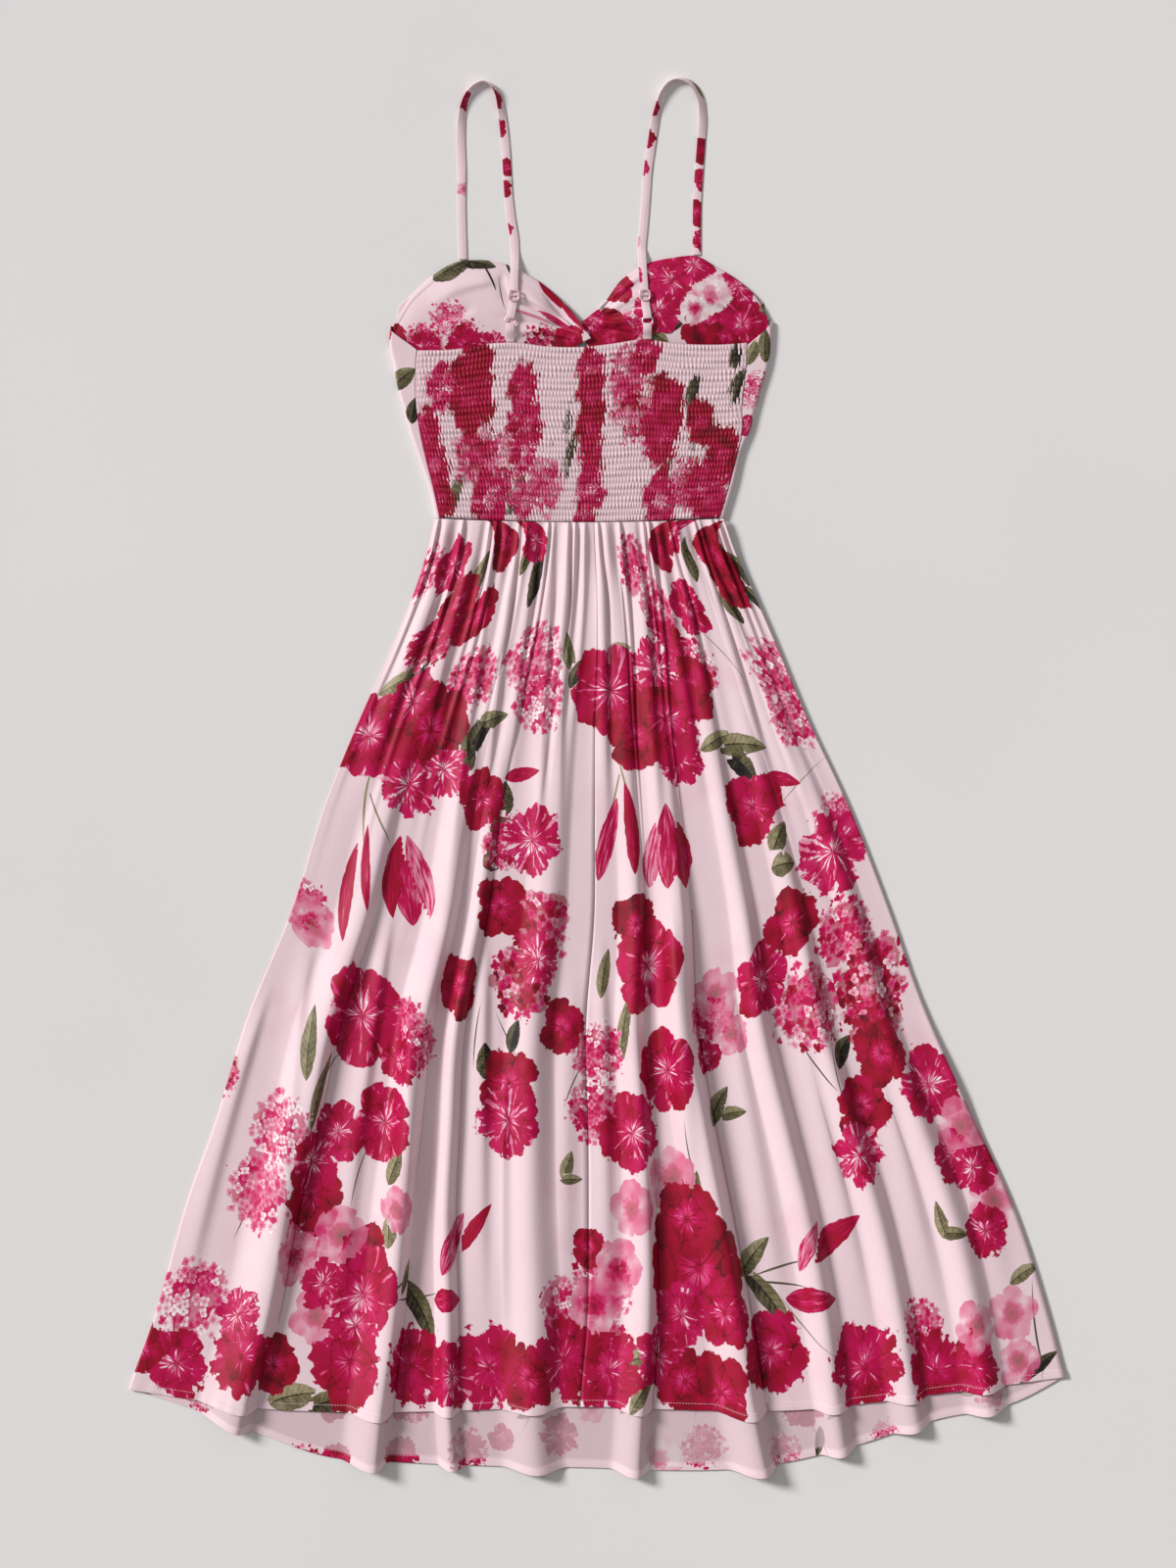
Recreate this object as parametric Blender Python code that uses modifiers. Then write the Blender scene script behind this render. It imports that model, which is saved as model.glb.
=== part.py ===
"""A slip dress laid flat on its front, so that its back is up.

The script's lengths are millimetres, and the meshes are written in metres.
The floor is Z = 0, the straps point to +Y and the hem to -Y. X runs across the
dress, and X = 0, Y = 0 is the middle of the whole outline.
"""
import math
from collections import namedtuple

import bmesh
import bpy
import numpy as np
from mathutils import Matrix, Vector

MM = 0.001

# Cloth and seams
CLOTH = 1.5
SEAM_GAP = 0.3
LAYER_GAP = 0.4

# Heights of the bodice's layers above the floor
BODICE_INSIDE = 5.0
FOLD_RADIUS = (BODICE_INSIDE + CLOTH) / 2
LINING_BELOW = CLOTH + LAYER_GAP

# Waist: a shallow curve, lowest near the middle of the back
WAIST_Y = 262.0
WAIST_MIDDLE = -15.0
WAIST_DIP = 2.0
WAIST_HALF = 150.0

# Skirt: its length and the section at which the flutes' middles are given
SKIRT_LENGTH = 905.0
MIDDLE_DOWN = 469.0
FLUTES_START = 0.10
FLUTES_FULL = 0.62
FLUTE_NARROWING = 0.75
CREST_DROP = 0.55
GATHER_WAVE = (0.0, 1.0, 0.55)
GATHER_HEIGHT = 3.4
GATHER_AT_SEAM = 0.4
GATHER_LENGTH = 75.0
GATHER_FADE = 1.5
GATHER_SWELL_LENGTH = 9.0
WAIST_RISE_LENGTH = 60.0
FRONT_HEM_LEAST = 1.0
MITRE_LIMIT = 0.7

# How much the gathers' heights and lengths change from one to the next
Unevenness = namedtuple("Unevenness", "amount pace start")
HEIGHT_CHANGE = Unevenness(0.22, 1.7, 0.0)
LENGTH_CHANGE = Unevenness(0.6, 2.3, 0.4)

# Outline of the skirt, a row for each section down from the waist
Section = namedtuple("Section", "down left right")
SKIRT_OUTLINE = [
    Section(0, -165.5, 129),
    Section(30, -172, 139),
    Section(69, -184, 156),
    Section(134, -209, 184),
    Section(199, -238, 211),
    Section(299, -278, 257),
    Section(399, -309, 296),
    Section(519, -358, 339),
    Section(619, -389, 384),
    Section(699, -418, 421),
    Section(819, -453, 461),
    Section(885, -478, 478),
    Section(985, -514, 506),
]

# Length of each hem below the waist, at places across the hem
Hem = namedtuple("Hem", "x back front")
HEMS = [
    Hem(-478, 887, 887),
    Hem(-438, 893, 898),
    Hem(-350, 905, 928),
    Hem(-270, 909, 955),
    Hem(-189, 909, 962),
    Hem(-13, 904, 967),
    Hem(131, 908, 968),
    Hem(209, 907, 956),
    Hem(261, 902, 943),
    Hem(341, 892, 918),
    Hem(421, 882, 901),
    Hem(478, 875, 875),
]

# Flutes of the skirt: the crest's X at the middle section and at the hem, the
# widths of its two flanks and its height at the hem, and the mesh columns before
# it, up its left flank and down its right one
Flute = namedtuple("Flute", "mid hem left right height before rise fall")
LEFT_FLUTES = [
    Flute(-259, -364, 46, 17, 15, 5, 5, 3),
    Flute(-168, -223, 36, 14, 17, 5, 4, 3),
    Flute(-135, -152, 15, 12, 11, 2, 2, 2),
    Flute(-60, -64, 38, 30, 13, 3, 4, 3),
]
RIGHT_FLUTES = [
    Flute(39, 44, 28, 12, 13, 2, 3, 2),
    Flute(88, 159, 40, 14, 18, 3, 4, 3),
    Flute(159, 244, 25, 16, 13, 2, 2, 2),
    Flute(217, 321, 28, 16, 12, 2, 3, 2),
    Flute(278, 397, 28, 20, 12, 2, 3, 2),
]
COLUMNS_AFTER_LEFT = 1
COLUMNS_AFTER_RIGHT = 2

# Centre-back seam: its X at the waist, the middle section and the hem
SEAM_TRACK = (-3.0, -8.0, -17.0)

# Rows of the mesh, as parts of the skirt's length
BACK_ROWS = (0, 0.012, 0.03, 0.06, 0.10, 0.15, 0.22, 0.32, 0.45, 0.60, 0.75, 0.88, 1)
FRONT_ROWS = (0, 0.10, 0.15, 0.22, 0.32, 0.45, 0.60, 0.75, 0.88, 1)

# Sides of the bodice: the outline, the side seam on the back and the inner edge
# of the layer underneath, a row for each height
Side = namedtuple("Side", "y edge seam under")
LEFT_SIDE = [
    Side(460, -210.5, -182, -204),
    Side(443, -212, -182, -203),
    Side(421, -207.5, -184.5, -196),
    Side(398, -203.5, -185, -190),
    Side(378, -198, -184, -182),
    Side(353, -191, -180.5, -173),
    Side(323, -181, -174, -160),
    Side(293, -171, -166.5, -149),
    Side(262, -164.5, -160, -141),
]
RIGHT_SIDE = [
    Side(465, 179, 153, 172),
    Side(448, 178.5, 153, 170),
    Side(421, 175, 152.5, 161),
    Side(398, 168, 150, 153),
    Side(378, 162.5, 148, 147),
    Side(353, 156, 148, 138),
    Side(333, 148, 144, 128),
    Side(303, 141, 136.5, 119),
    Side(262, 129, 124.5, 106),
]
ARMHOLE_SLANT = 25.0
SLANT_BY_ROW = (1.0, 0.6)
SLANT_AT_FOLD = 0.25
FOLD_STEPS = 4
MIDRIFF_ROWS = 13
MIDRIFF_COLUMNS = (0.0, 0.5, 1.0)

# Shirred back: its top edge, the elastic rows and the puckers of each row
TopEdge = namedtuple("TopEdge", "x y")
BACK_TOP = [
    TopEdge(-182, 435),
    TopEdge(-144, 436),
    TopEdge(-102, 442.5),
    TopEdge(-84, 443),
    TopEdge(-49, 439),
    TopEdge(-9, 439),
    TopEdge(16, 442),
    TopEdge(43, 446),
    TopEdge(81, 442),
    TopEdge(126, 441),
    TopEdge(153, 443),
]
ELASTIC_ROWS = 28
PUCKER_COLUMNS = 28
RIB_HEIGHT = 1.5
PUCKER_SHARE = 0.4
EDGE_RIB_SHARE = 0.5

# Cups: vertical slices from the middle of the front to the armhole. Each has the
# outline's top, and how far the lining's edge lies inside it
Slice = namedtuple("Slice", "x top inset")
LEFT_CUP = [
    Slice(-6, 448, 0.8),
    Slice(-15, 461, 0.8),
    Slice(-29, 479, 0.8),
    Slice(-49, 498, 0.8),
    Slice(-69, 512, 0.8),
    Slice(-94, 523.5, 0.8),
    Slice(-119, 527.5, 0.8),
    Slice(-144, 525, 0.8),
    Slice(-164, 514, 0.8),
    Slice(-187, 493.5, 0.8),
    Slice(-203, 471, 0.8),
]
RIGHT_CUP = [
    Slice(-15, 465, 0.8),
    Slice(-7, 471, 0.8),
    Slice(9, 486, 0.8),
    Slice(24, 506, 8.0),
    Slice(40, 517, 5.0),
    Slice(55, 525, 2.0),
    Slice(76, 529.5, 0.8),
    Slice(101, 531.5, 0.8),
    Slice(121, 521, 0.8),
    Slice(141, 509, 0.8),
    Slice(159, 494, 0.8),
    Slice(171, 479, 0.8),
]
CUP_EDGE_Y = 441.0
UNDERBUST_Y = 388.0
CUP_LINES = (1.0, 0.8, 0.66, 0.55, 0.42, 0.28, 0.14, 0.0)
CUP_HEIGHT = 6.5
CREASE_LINES = (0.55, 0.28)
CREASE_WIDTH = 0.06
CREASE_SHARE = 0.75
CREASE_REACH = 0.5
CENTRE_FRONT = -14.5
CENTRE_SPREAD = 4.5
SWELL_START = 0.1
SWELL_FULL = 0.25
SWELL_ACROSS = 0.6
SWELL_DOWN = 0.8
CROSSING_HEIGHT = 4.0
CROSSING_SLICES = (1.0, 1.0, 0.3)
CROSSING_AT_EDGE = 0.3
CROSSING_RISE = 0.5
LINING_SIDE_REACH = 3.0
LINING_TOP_REACH = 3.5
LINING_ABOVE_SIDE = 1.0
INSET_LIMIT = 0.7

# The cups meet here, and a strap settles onto a cup over this length
CUPS_MEET_X = -10.0
CUP_RAMP = 10.0

# Straps: a flat ribbon's route, and how far it is turned on its edge (degrees)
STRAP_WIDTH = 8.5
STRAP_CLEARANCE = 4.0
Route = namedtuple("Route", "x y turn")
LEFT_STRAP = [
    Route(-136.5, 526, 0),
    Route(-137, 543, 0),
    Route(-138, 578, 0),
    Route(-138, 626, 0),
    Route(-138.5, 658, 12),
    Route(-136.5, 681, 32),
    Route(-131.5, 696, 52),
    Route(-123, 706, 72),
    Route(-115.5, 709.5, 88),
    Route(-108, 706.5, 104),
    Route(-102, 698, 122),
    Route(-98, 685, 146),
    Route(-95.5, 668, 168),
    Route(-93, 643, 180),
    Route(-91.5, 618, 180),
    Route(-90, 593, 180),
    Route(-87, 568, 180),
    Route(-84, 548, 180),
    Route(-83.5, 534, 180),
    Route(-84, 517, 180),
    Route(-84.3, 503, 180),
    Route(-84.5, 490, 180),
    Route(-86, 479, 180),
    Route(-87.5, 471.5, 180),
    Route(-88, 467, 180),
]
RIGHT_STRAP = [
    Route(102, 532, 0),
    Route(102, 558, 0),
    Route(102.5, 588, 0),
    Route(104.5, 621, 0),
    Route(106.5, 648, 8),
    Route(108, 675, 22),
    Route(105.5, 693, 36),
    Route(98, 706, 50),
    Route(89, 711.5, 66),
    Route(81, 712, 84),
    Route(74, 708.5, 100),
    Route(68, 700, 118),
    Route(63, 685, 140),
    Route(59.5, 668, 162),
    Route(55.5, 643, 178),
    Route(52, 618, 180),
    Route(50.3, 593, 180),
    Route(48, 563, 180),
    Route(46, 540, 180),
    Route(46.5, 524, 180),
    Route(47.5, 508, 180),
    Route(48.8, 491, 180),
    Route(50, 479, 180),
    Route(51.3, 471.5, 180),
    Route(51.6, 467, 180),
]

# Strap hardware: a ring and a slider of round wire, and the tab on the ring
WIRE = 1.8
RING_RADIUS = 5.2
RING_SEGMENTS = 18
WIRE_SEGMENTS = 6
RING_ABOVE_CUP = 2.2
BAR_RADIUS = 0.72
BAR_SEGMENTS = 8
SLIDER_REACH = 15.0
Hardware = namedtuple("Hardware", "side slider_x slider_y ring_x ring_y")
HARDWARE = [
    Hardware("left", -84.6, 490.5, -88.2, 465.0),
    Hardware("right", 48.8, 491.0, 51.6, 465.0),
]
TAB_STEPS = 6
TAB_OVERLAP = 2.6
TAB_DROP_START = 0.3

FLORAL = (0.80, 0.42, 0.50)
FLORAL_INSIDE = (0.90, 0.74, 0.76)
WHITE_METAL = (0.86, 0.80, 0.82)


def clear_scene():
    for item in list(bpy.data.objects):
        bpy.data.objects.remove(item, do_unlink=True)


def make_material(name, color, roughness, metallic=0.0):
    material = bpy.data.materials.new(name)
    material.use_nodes = True
    shader = material.node_tree.nodes["Principled BSDF"]
    shader.inputs["Base Color"].default_value = (*color, 1.0)
    shader.inputs["Roughness"].default_value = roughness
    shader.inputs["Metallic"].default_value = metallic
    return material


def add_object(name, bm, material):
    """Turn a bmesh in millimetres into an object in metres."""
    bmesh.ops.scale(bm, vec=Vector((MM, MM, MM)), verts=bm.verts)
    bmesh.ops.recalc_face_normals(bm, faces=bm.faces)
    mesh = bpy.data.meshes.new(name)
    bm.to_mesh(mesh)
    bm.free()
    mesh.materials.append(material)
    item = bpy.data.objects.new(name, mesh)
    bpy.data.collections["slip_dress"].objects.link(item)
    return item


def add_sheet(bm, points):
    """Add a sheet of quads through rows of points, and return its rows of vertices."""
    rows, columns = points.shape[:2]
    made = bmesh.ops.create_grid(bm, x_segments=columns - 1, y_segments=rows - 1, size=1)
    verts = made["verts"]
    for vert, point in zip(verts, points.reshape(-1, 3)):
        vert.co = point
    return [verts[row * columns:(row + 1) * columns] for row in range(rows)]


def outline_of(sheet):
    """The vertices round a sheet, in order."""
    top = sheet[0]
    bottom = sheet[-1]
    right = [row[-1] for row in sheet[1:-1]]
    left = [row[0] for row in sheet[1:-1]]
    return top + right + bottom[::-1] + left[::-1]


def add_wall(name, lower, upper, material):
    """Make one closed wall of cloth between two sheets of points."""
    bm = bmesh.new()
    lower_rim = outline_of(add_sheet(bm, lower))
    upper_rim = outline_of(add_sheet(bm, upper))
    count = len(lower_rim)
    for index in range(count):
        after = (index + 1) % count
        bm.faces.new((lower_rim[index], lower_rim[after], upper_rim[after], upper_rim[index]))
    return add_object(name, bm, material)


def lift_points(points, height):
    moved = points.copy()
    moved[..., 2] += height
    return moved


def across_waist(share):
    """X at a share of the way across the waist."""
    left, right = skirt_edges(0.0)
    return left + (right - left) * share


def waist_y(x):
    return WAIST_Y - WAIST_DIP + 2 * WAIST_DIP * ((x - WAIST_MIDDLE) / WAIST_HALF) ** 2


def smooth(value):
    value = np.clip(value, 0.0, 1.0)
    return value * value * (3 - 2 * value)


# Skirt

def skirt_edges(down):
    table = np.array(SKIRT_OUTLINE, dtype=float)
    left = np.interp(down, table[:, 0], table[:, 1])
    right = np.interp(down, table[:, 0], table[:, 2])
    return left, right


def panel_columns(flutes, start, end, after):
    """X at the middle section and at the hem, and the height, of each column."""
    mids = [start[1]]
    hems = [start[2]]
    heights = [0.0]
    for flute in flutes:
        feet = (
            (flute.mid - flute.left * FLUTE_NARROWING, flute.hem - flute.left, flute.before, 0, 0),
            (flute.mid, flute.hem, flute.rise, 0, flute.height),
            (flute.mid + flute.right * FLUTE_NARROWING, flute.hem + flute.right,
             flute.fall, flute.height, 0),
        )
        for mid, hem, count, low, high in feet:
            steps = np.arange(1, count + 1) / count
            from_mid = mids[-1]
            from_hem = hems[-1]
            mids.extend(from_mid + (mid - from_mid) * steps)
            hems.extend(from_hem + (hem - from_hem) * steps)
            heights.extend(low + (high - low) * smooth(steps))
    steps = np.arange(1, after + 1) / after
    from_mid = mids[-1]
    from_hem = hems[-1]
    mids.extend(from_mid + (end[1] - from_mid) * steps)
    hems.extend(from_hem + (end[2] - from_hem) * steps)
    heights.extend(np.zeros(after))
    waists = np.linspace(start[0], end[0], len(mids))
    return np.array([waists, mids, hems, heights])


def skirt_points(columns, downs):
    """Points of the skirt's form on the floor, at each column and distance down."""
    waists, mids, hems, heights = columns
    middle = MIDDLE_DOWN / SKIRT_LENGTH
    part = downs / SKIRT_LENGTH
    shares = []
    for x, down in ((waists, 0.0), (mids, MIDDLE_DOWN), (hems, hem_downs(hems, front=False))):
        left, right = skirt_edges(down)
        shares.append((x - left) / (right - left))
    share = (shares[0] * (part - middle) * (part - 1) / middle
             + shares[1] * part * (part - 1) / (middle * (middle - 1))
             + shares[2] * part * (part - middle) / (1 - middle))
    left, right = skirt_edges(downs)
    x = left + (right - left) * share
    growth = smooth((part - FLUTES_START) / (FLUTES_FULL - FLUTES_START))
    z = heights * growth
    top = waist_y(x) * (1 - part) + WAIST_Y * part
    y = top - SEAM_GAP - downs - CREST_DROP * z * part ** 2
    return np.stack([x, y, z], axis=-1)


def move_out(points, distance):
    """Move each row's points out along the row's own normals, in X and Z."""
    flat = points[..., [0, 2]]
    steps = np.diff(flat, axis=1)
    steps /= np.linalg.norm(steps, axis=2, keepdims=True)
    before = np.concatenate([steps[:, :1], steps], axis=1)
    after = np.concatenate([steps, steps[:, -1:]], axis=1)
    along = before + after
    along /= np.linalg.norm(along, axis=2, keepdims=True)
    mitre = np.maximum((along * after).sum(axis=2), MITRE_LIMIT)
    moved = points.copy()
    moved[..., 0] -= along[..., 1] / mitre * distance
    moved[..., 2] += along[..., 0] / mitre * distance
    return moved


def gather_heights(count, downs):
    """Height of the waist's gathers above the form, uneven from one to the next."""
    column = np.arange(count)
    gather = column // len(GATHER_WAVE)
    wave = np.array(GATHER_WAVE)[column % len(GATHER_WAVE)]
    taller = HEIGHT_CHANGE.amount * np.sin(HEIGHT_CHANGE.pace * gather + HEIGHT_CHANGE.start)
    longer = LENGTH_CHANGE.amount * np.abs(
        np.sin(LENGTH_CHANGE.pace * gather + LENGTH_CHANGE.start))
    height = GATHER_HEIGHT * (1 + taller)
    length = GATHER_LENGTH * (1 + longer)
    swell = GATHER_AT_SEAM + (1 - GATHER_AT_SEAM) * (1 - np.exp(-downs / GATHER_SWELL_LENGTH))
    gathers = wave * height * swell * np.exp(-(downs / length) ** GATHER_FADE)
    rise = (BODICE_INSIDE - LINING_BELOW) * (1 - smooth(downs / WAIST_RISE_LENGTH))
    return gathers + rise


def hem_downs(hems, front):
    table = np.array(HEMS, dtype=float)
    return np.interp(hems, table[:, 0], table[:, 2] if front else table[:, 1])


def make_skirt(material, inside):
    left_waist, right_waist = skirt_edges(0.0)
    left_mid, right_mid = skirt_edges(MIDDLE_DOWN)
    left_hem, right_hem = HEMS[0].x, HEMS[-1].x
    left = panel_columns(LEFT_FLUTES, (left_waist, left_mid, left_hem), SEAM_TRACK,
                         COLUMNS_AFTER_LEFT)
    right = panel_columns(RIGHT_FLUTES, SEAM_TRACK, (right_waist, right_mid, right_hem),
                          COLUMNS_AFTER_RIGHT)
    rows = np.array(BACK_ROWS)[:, None]
    for name, columns, seam_column, side in (("skirt_back_left", left, -1, -1),
                                             ("skirt_back_right", right, 0, 1)):
        downs = rows * hem_downs(columns[2], front=False)
        form = skirt_points(columns, downs)
        lifts = gather_heights(columns.shape[1], downs)
        lower = lift_points(move_out(form, LINING_BELOW), lifts)
        upper = lift_points(move_out(form, LINING_BELOW + CLOTH), lifts)
        for sheet in (lower, upper):
            sheet[:, seam_column, 0] += side * SEAM_GAP / 2
        add_wall(name, lower, upper, material)
    whole = np.concatenate([left, right[:, 1:]], axis=1)
    downs = np.array(FRONT_ROWS)[:, None] * hem_downs(whole[2], front=False)
    below = np.maximum(hem_downs(whole[2], front=True), downs[-1] + FRONT_HEM_LEAST)
    form = skirt_points(whole, np.concatenate([downs, below[None]]))
    add_wall("skirt_front", form, move_out(form, CLOTH), inside)


# Bodice

def side_table(side):
    return np.array(side, dtype=float)[::-1]


def side_x(side, y, column):
    table = side_table(side)
    return np.interp(y, table[:, 0], table[:, column])


def make_side_panel(name, side, hand, material):
    """A panel that runs under the bodice, folds up at the side and ends at the back seam."""
    radius = FOLD_RADIUS - CLOTH / 2
    turns = np.linspace(0, math.pi, FOLD_STEPS + 1)
    across = len(turns) + 2
    slant = np.zeros(across)
    slant[-1] = ARMHOLE_SLANT
    slant[-2] = ARMHOLE_SLANT * SLANT_AT_FOLD
    points = np.zeros((len(side), across, 3))
    for row, section in enumerate(side):
        lean = SLANT_BY_ROW[row] if row < len(SLANT_BY_ROW) else 0.0
        for column in range(across):
            y = section.y - slant[column] * lean
            if row == len(side) - 1:
                y = waist_y(section.edge)
            axis_x = side_x(side, y, 1) - hand * FOLD_RADIUS
            if column == 0:
                x = side_x(side, y, 3)
                z = CLOTH / 2
            elif column == across - 1:
                x = side_x(side, y, 2) + hand * SEAM_GAP / 2
                z = BODICE_INSIDE + CLOTH / 2
            else:
                turn = turns[column - 1]
                x = axis_x + hand * radius * math.sin(turn)
                z = FOLD_RADIUS - radius * math.cos(turn)
            points[row, column] = (x, y, z)
    bm = bmesh.new()
    add_sheet(bm, points)
    panel = add_object(name, bm, material)
    wall = panel.modifiers.new("wall", "SOLIDIFY")
    wall.thickness = CLOTH * MM
    wall.offset = 0
    wall.use_even_offset = True
    return panel


def make_midriff(material):
    lower = np.zeros((MIDRIFF_ROWS, 3, 3))
    for row in range(MIDRIFF_ROWS):
        part = row / (MIDRIFF_ROWS - 1)
        for column, share in enumerate(MIDRIFF_COLUMNS):
            top = UNDERBUST_Y - SEAM_GAP / 2
            y = top + (waist_y(across_waist(share)) - top) * part
            start = side_x(LEFT_SIDE, y, 3) + 2 * SEAM_GAP
            end = side_x(RIGHT_SIDE, y, 3) - 2 * SEAM_GAP
            lower[row, column] = (start + (end - start) * share, y, 0)
    add_wall("front_midriff", lower, lift_points(lower, CLOTH), material)


def back_top(x):
    """Y of the back's top edge."""
    tops = np.array(BACK_TOP, dtype=float)
    return np.interp(x, tops[:, 0], tops[:, 1])


def make_bodice_back(material):
    """The shirred back: ribs between its elastic rows, over a plain inside."""
    lines = 2 * ELASTIC_ROWS + 1
    points = np.zeros((lines, PUCKER_COLUMNS + 1, 3))
    for line in range(lines):
        part = line / (lines - 1)
        for column in range(PUCKER_COLUMNS + 1):
            share = column / PUCKER_COLUMNS
            near_x = BACK_TOP[0].x + (BACK_TOP[-1].x - BACK_TOP[0].x) * share
            top = back_top(near_x)
            y = top + (waist_y(near_x) - top) * part
            start = side_x(LEFT_SIDE, y, 2) + SEAM_GAP / 2
            end = side_x(RIGHT_SIDE, y, 2) - SEAM_GAP / 2
            x = start + (end - start) * share
            ridge = line % 2
            pucker = 1 - PUCKER_SHARE * ((column + line // 2) % 2)
            inner = 0 < column < PUCKER_COLUMNS
            height = RIB_HEIGHT * ridge * pucker * (1.0 if inner else EDGE_RIB_SHARE)
            points[line, column] = (x, y, BODICE_INSIDE + CLOTH + height)
    bm = bmesh.new()
    rim = outline_of(add_sheet(bm, points))
    inside = [bm.verts.new((vert.co.x, vert.co.y, BODICE_INSIDE)) for vert in rim]
    for index, vert in enumerate(rim):
        after = (index + 1) % len(rim)
        bm.faces.new((vert, rim[after], inside[after], inside[index]))
    plain = bm.faces.new(inside)
    bmesh.ops.triangulate(bm, faces=[plain], ngon_method="BEAUTY")
    return add_object("bodice_back", bm, material)


def cup_height(cup, x, y):
    """Height of the cup's soft swell at a place, with its creases from the middle front."""
    first = cup[0].x
    last = cup[-1].x
    reach = np.clip((x - first) / (last - first), 0, 1)
    ordered = sorted(cup)
    top = np.interp(x, [item.x for item in ordered], [item.top for item in ordered])
    part = np.clip((y - CUP_EDGE_Y) / max(top - CUP_EDGE_Y, 1.0), 0, 1)
    swell = (math.sin(math.pi * reach) ** SWELL_ACROSS
             * math.sin(math.pi * part) ** SWELL_DOWN)
    swell *= smooth((reach - SWELL_START) / (SWELL_FULL - SWELL_START))
    fade = 1 - smooth(reach / CREASE_REACH)
    for line in CREASE_LINES:
        crease = math.exp(-((part - line) / CREASE_WIDTH) ** 2)
        swell *= 1 - CREASE_SHARE * crease * fade
    return CUP_HEIGHT * swell


def cup_points(cup, hand, side, lining, crossing):
    """Rows of points from the cup's outline down to the underbust seam."""
    lines = len(CUP_LINES)
    points = np.zeros((lines + 1, len(cup), 3))
    for column, item in enumerate(cup):
        x_top = item.x
        x_edge = item.x
        x_under = item.x
        top = item.top
        if column == 0:
            x_edge = CENTRE_FRONT + hand * CENTRE_SPREAD
            x_under = CENTRE_FRONT + hand * SEAM_GAP / 2
        if column == 1:
            x_edge = CENTRE_FRONT + hand * 2 * CENTRE_SPREAD
            x_under = x_edge
        if column == len(cup) - 1:
            if lining:
                x_top = side_x(side, top, 1) - hand * LINING_TOP_REACH
                x_edge = side_x(side, CUP_EDGE_Y, 1) - hand * LINING_SIDE_REACH
                x_under = side_x(side, UNDERBUST_Y, 1) - hand * LINING_SIDE_REACH
                top = side[0].y + LINING_ABOVE_SIDE
            else:
                x_edge = side_x(side, CUP_EDGE_Y, 3) - hand * SEAM_GAP
                x_under = side_x(side, UNDERBUST_Y, 3) - hand * SEAM_GAP
        for row, line in enumerate(CUP_LINES):
            y = CUP_EDGE_Y + (top - CUP_EDGE_Y) * line
            x = x_edge + (x_top - x_edge) * line
            z = 0.0
            if 0 < column < len(cup) - 1:
                z = cup_height(cup, item.x, CUP_EDGE_Y + (item.top - CUP_EDGE_Y) * line)
            if crossing and column < len(CROSSING_SLICES):
                hold = CROSSING_AT_EDGE + (1 - CROSSING_AT_EDGE) * smooth(line / CROSSING_RISE)
                z = max(z, CROSSING_HEIGHT * CROSSING_SLICES[column] * hold)
            points[row, column] = (x, y, z)
        points[lines, column] = (x_under, UNDERBUST_Y + SEAM_GAP / 2, 0.0)
    if lining:
        for column, item in enumerate(cup[:-1]):
            part = item.inset / ((item.top - CUP_EDGE_Y) * (CUP_LINES[0] - CUP_LINES[1]))
            part = min(part, INSET_LIMIT)
            points[0, column] += (points[1, column] - points[0, column]) * part
        points = lift_points(points, LINING_BELOW)
    return points


def make_cups(material, lining_material):
    for name, cup, hand, side in (("left", LEFT_CUP, -1, LEFT_SIDE),
                                  ("right", RIGHT_CUP, 1, RIGHT_SIDE)):
        crossing = hand < 0
        outer = cup_points(cup, hand, side, False, crossing)
        lining = cup_points(cup, hand, side, True, crossing)
        add_wall("cup_" + name, outer, lift_points(outer, CLOTH), material)
        add_wall("cup_lining_" + name, lining, lift_points(lining, CLOTH), lining_material)


# Straps

def cup_top(x):
    """Y of the cups' outline."""
    cup = sorted(LEFT_CUP if x < CUPS_MEET_X else RIGHT_CUP)
    return np.interp(x, [item.x for item in cup], [item.top for item in cup])


def bodice_top(x, y):
    """Height of the highest layer of the cups at a place."""
    cup = LEFT_CUP if x < CUPS_MEET_X else RIGHT_CUP
    top = cup_top(x)
    if y > top + CUP_RAMP:
        return 0.0
    layers = LINING_BELOW + CLOTH
    ramp = smooth((top + CUP_RAMP - y) / CUP_RAMP)
    return layers * ramp + cup_height(cup, x, y)


def ribbon_points(route):
    """Corners of a flat ribbon along a route of (x, y, z, turn)."""
    route = np.array(route, dtype=float)
    along = np.gradient(route[:, :2], axis=0)
    along /= np.linalg.norm(along, axis=1, keepdims=True)
    sections = []
    for (x, y, z, turn), (dx, dy) in zip(route, along):
        angle = math.radians(turn)
        side = Vector((-dy, dx, 0))
        up = Vector((0, 0, 1))
        wide = side * math.cos(angle) + up * math.sin(angle)
        thick = up * math.cos(angle) - side * math.sin(angle)
        middle = Vector((x, y, z))
        corners = [middle + wide * a * STRAP_WIDTH / 2 + thick * b * CLOTH / 2
                   for a, b in ((-1, -1), (1, -1), (1, 1), (-1, 1))]
        sections.append(corners)
    return sections


def add_ribbon(name, route, material):
    bm = bmesh.new()
    rings = [[bm.verts.new(corner) for corner in corners] for corners in ribbon_points(route)]
    for ring, after in zip(rings, rings[1:]):
        for index in range(4):
            turn = (index + 1) % 4
            bm.faces.new((ring[index], ring[turn], after[turn], after[index]))
    bm.faces.new(rings[0])
    bm.faces.new(rings[-1])
    return add_object(name, bm, material)


def highest_under(x, y):
    """Highest cloth under the strap's width at a place."""
    half = STRAP_WIDTH / 2
    return max(bodice_top(x + dx, y + dy) for dx in (-half, 0, half)
               for dy in (-STRAP_CLEARANCE, 0, STRAP_CLEARANCE))


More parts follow.
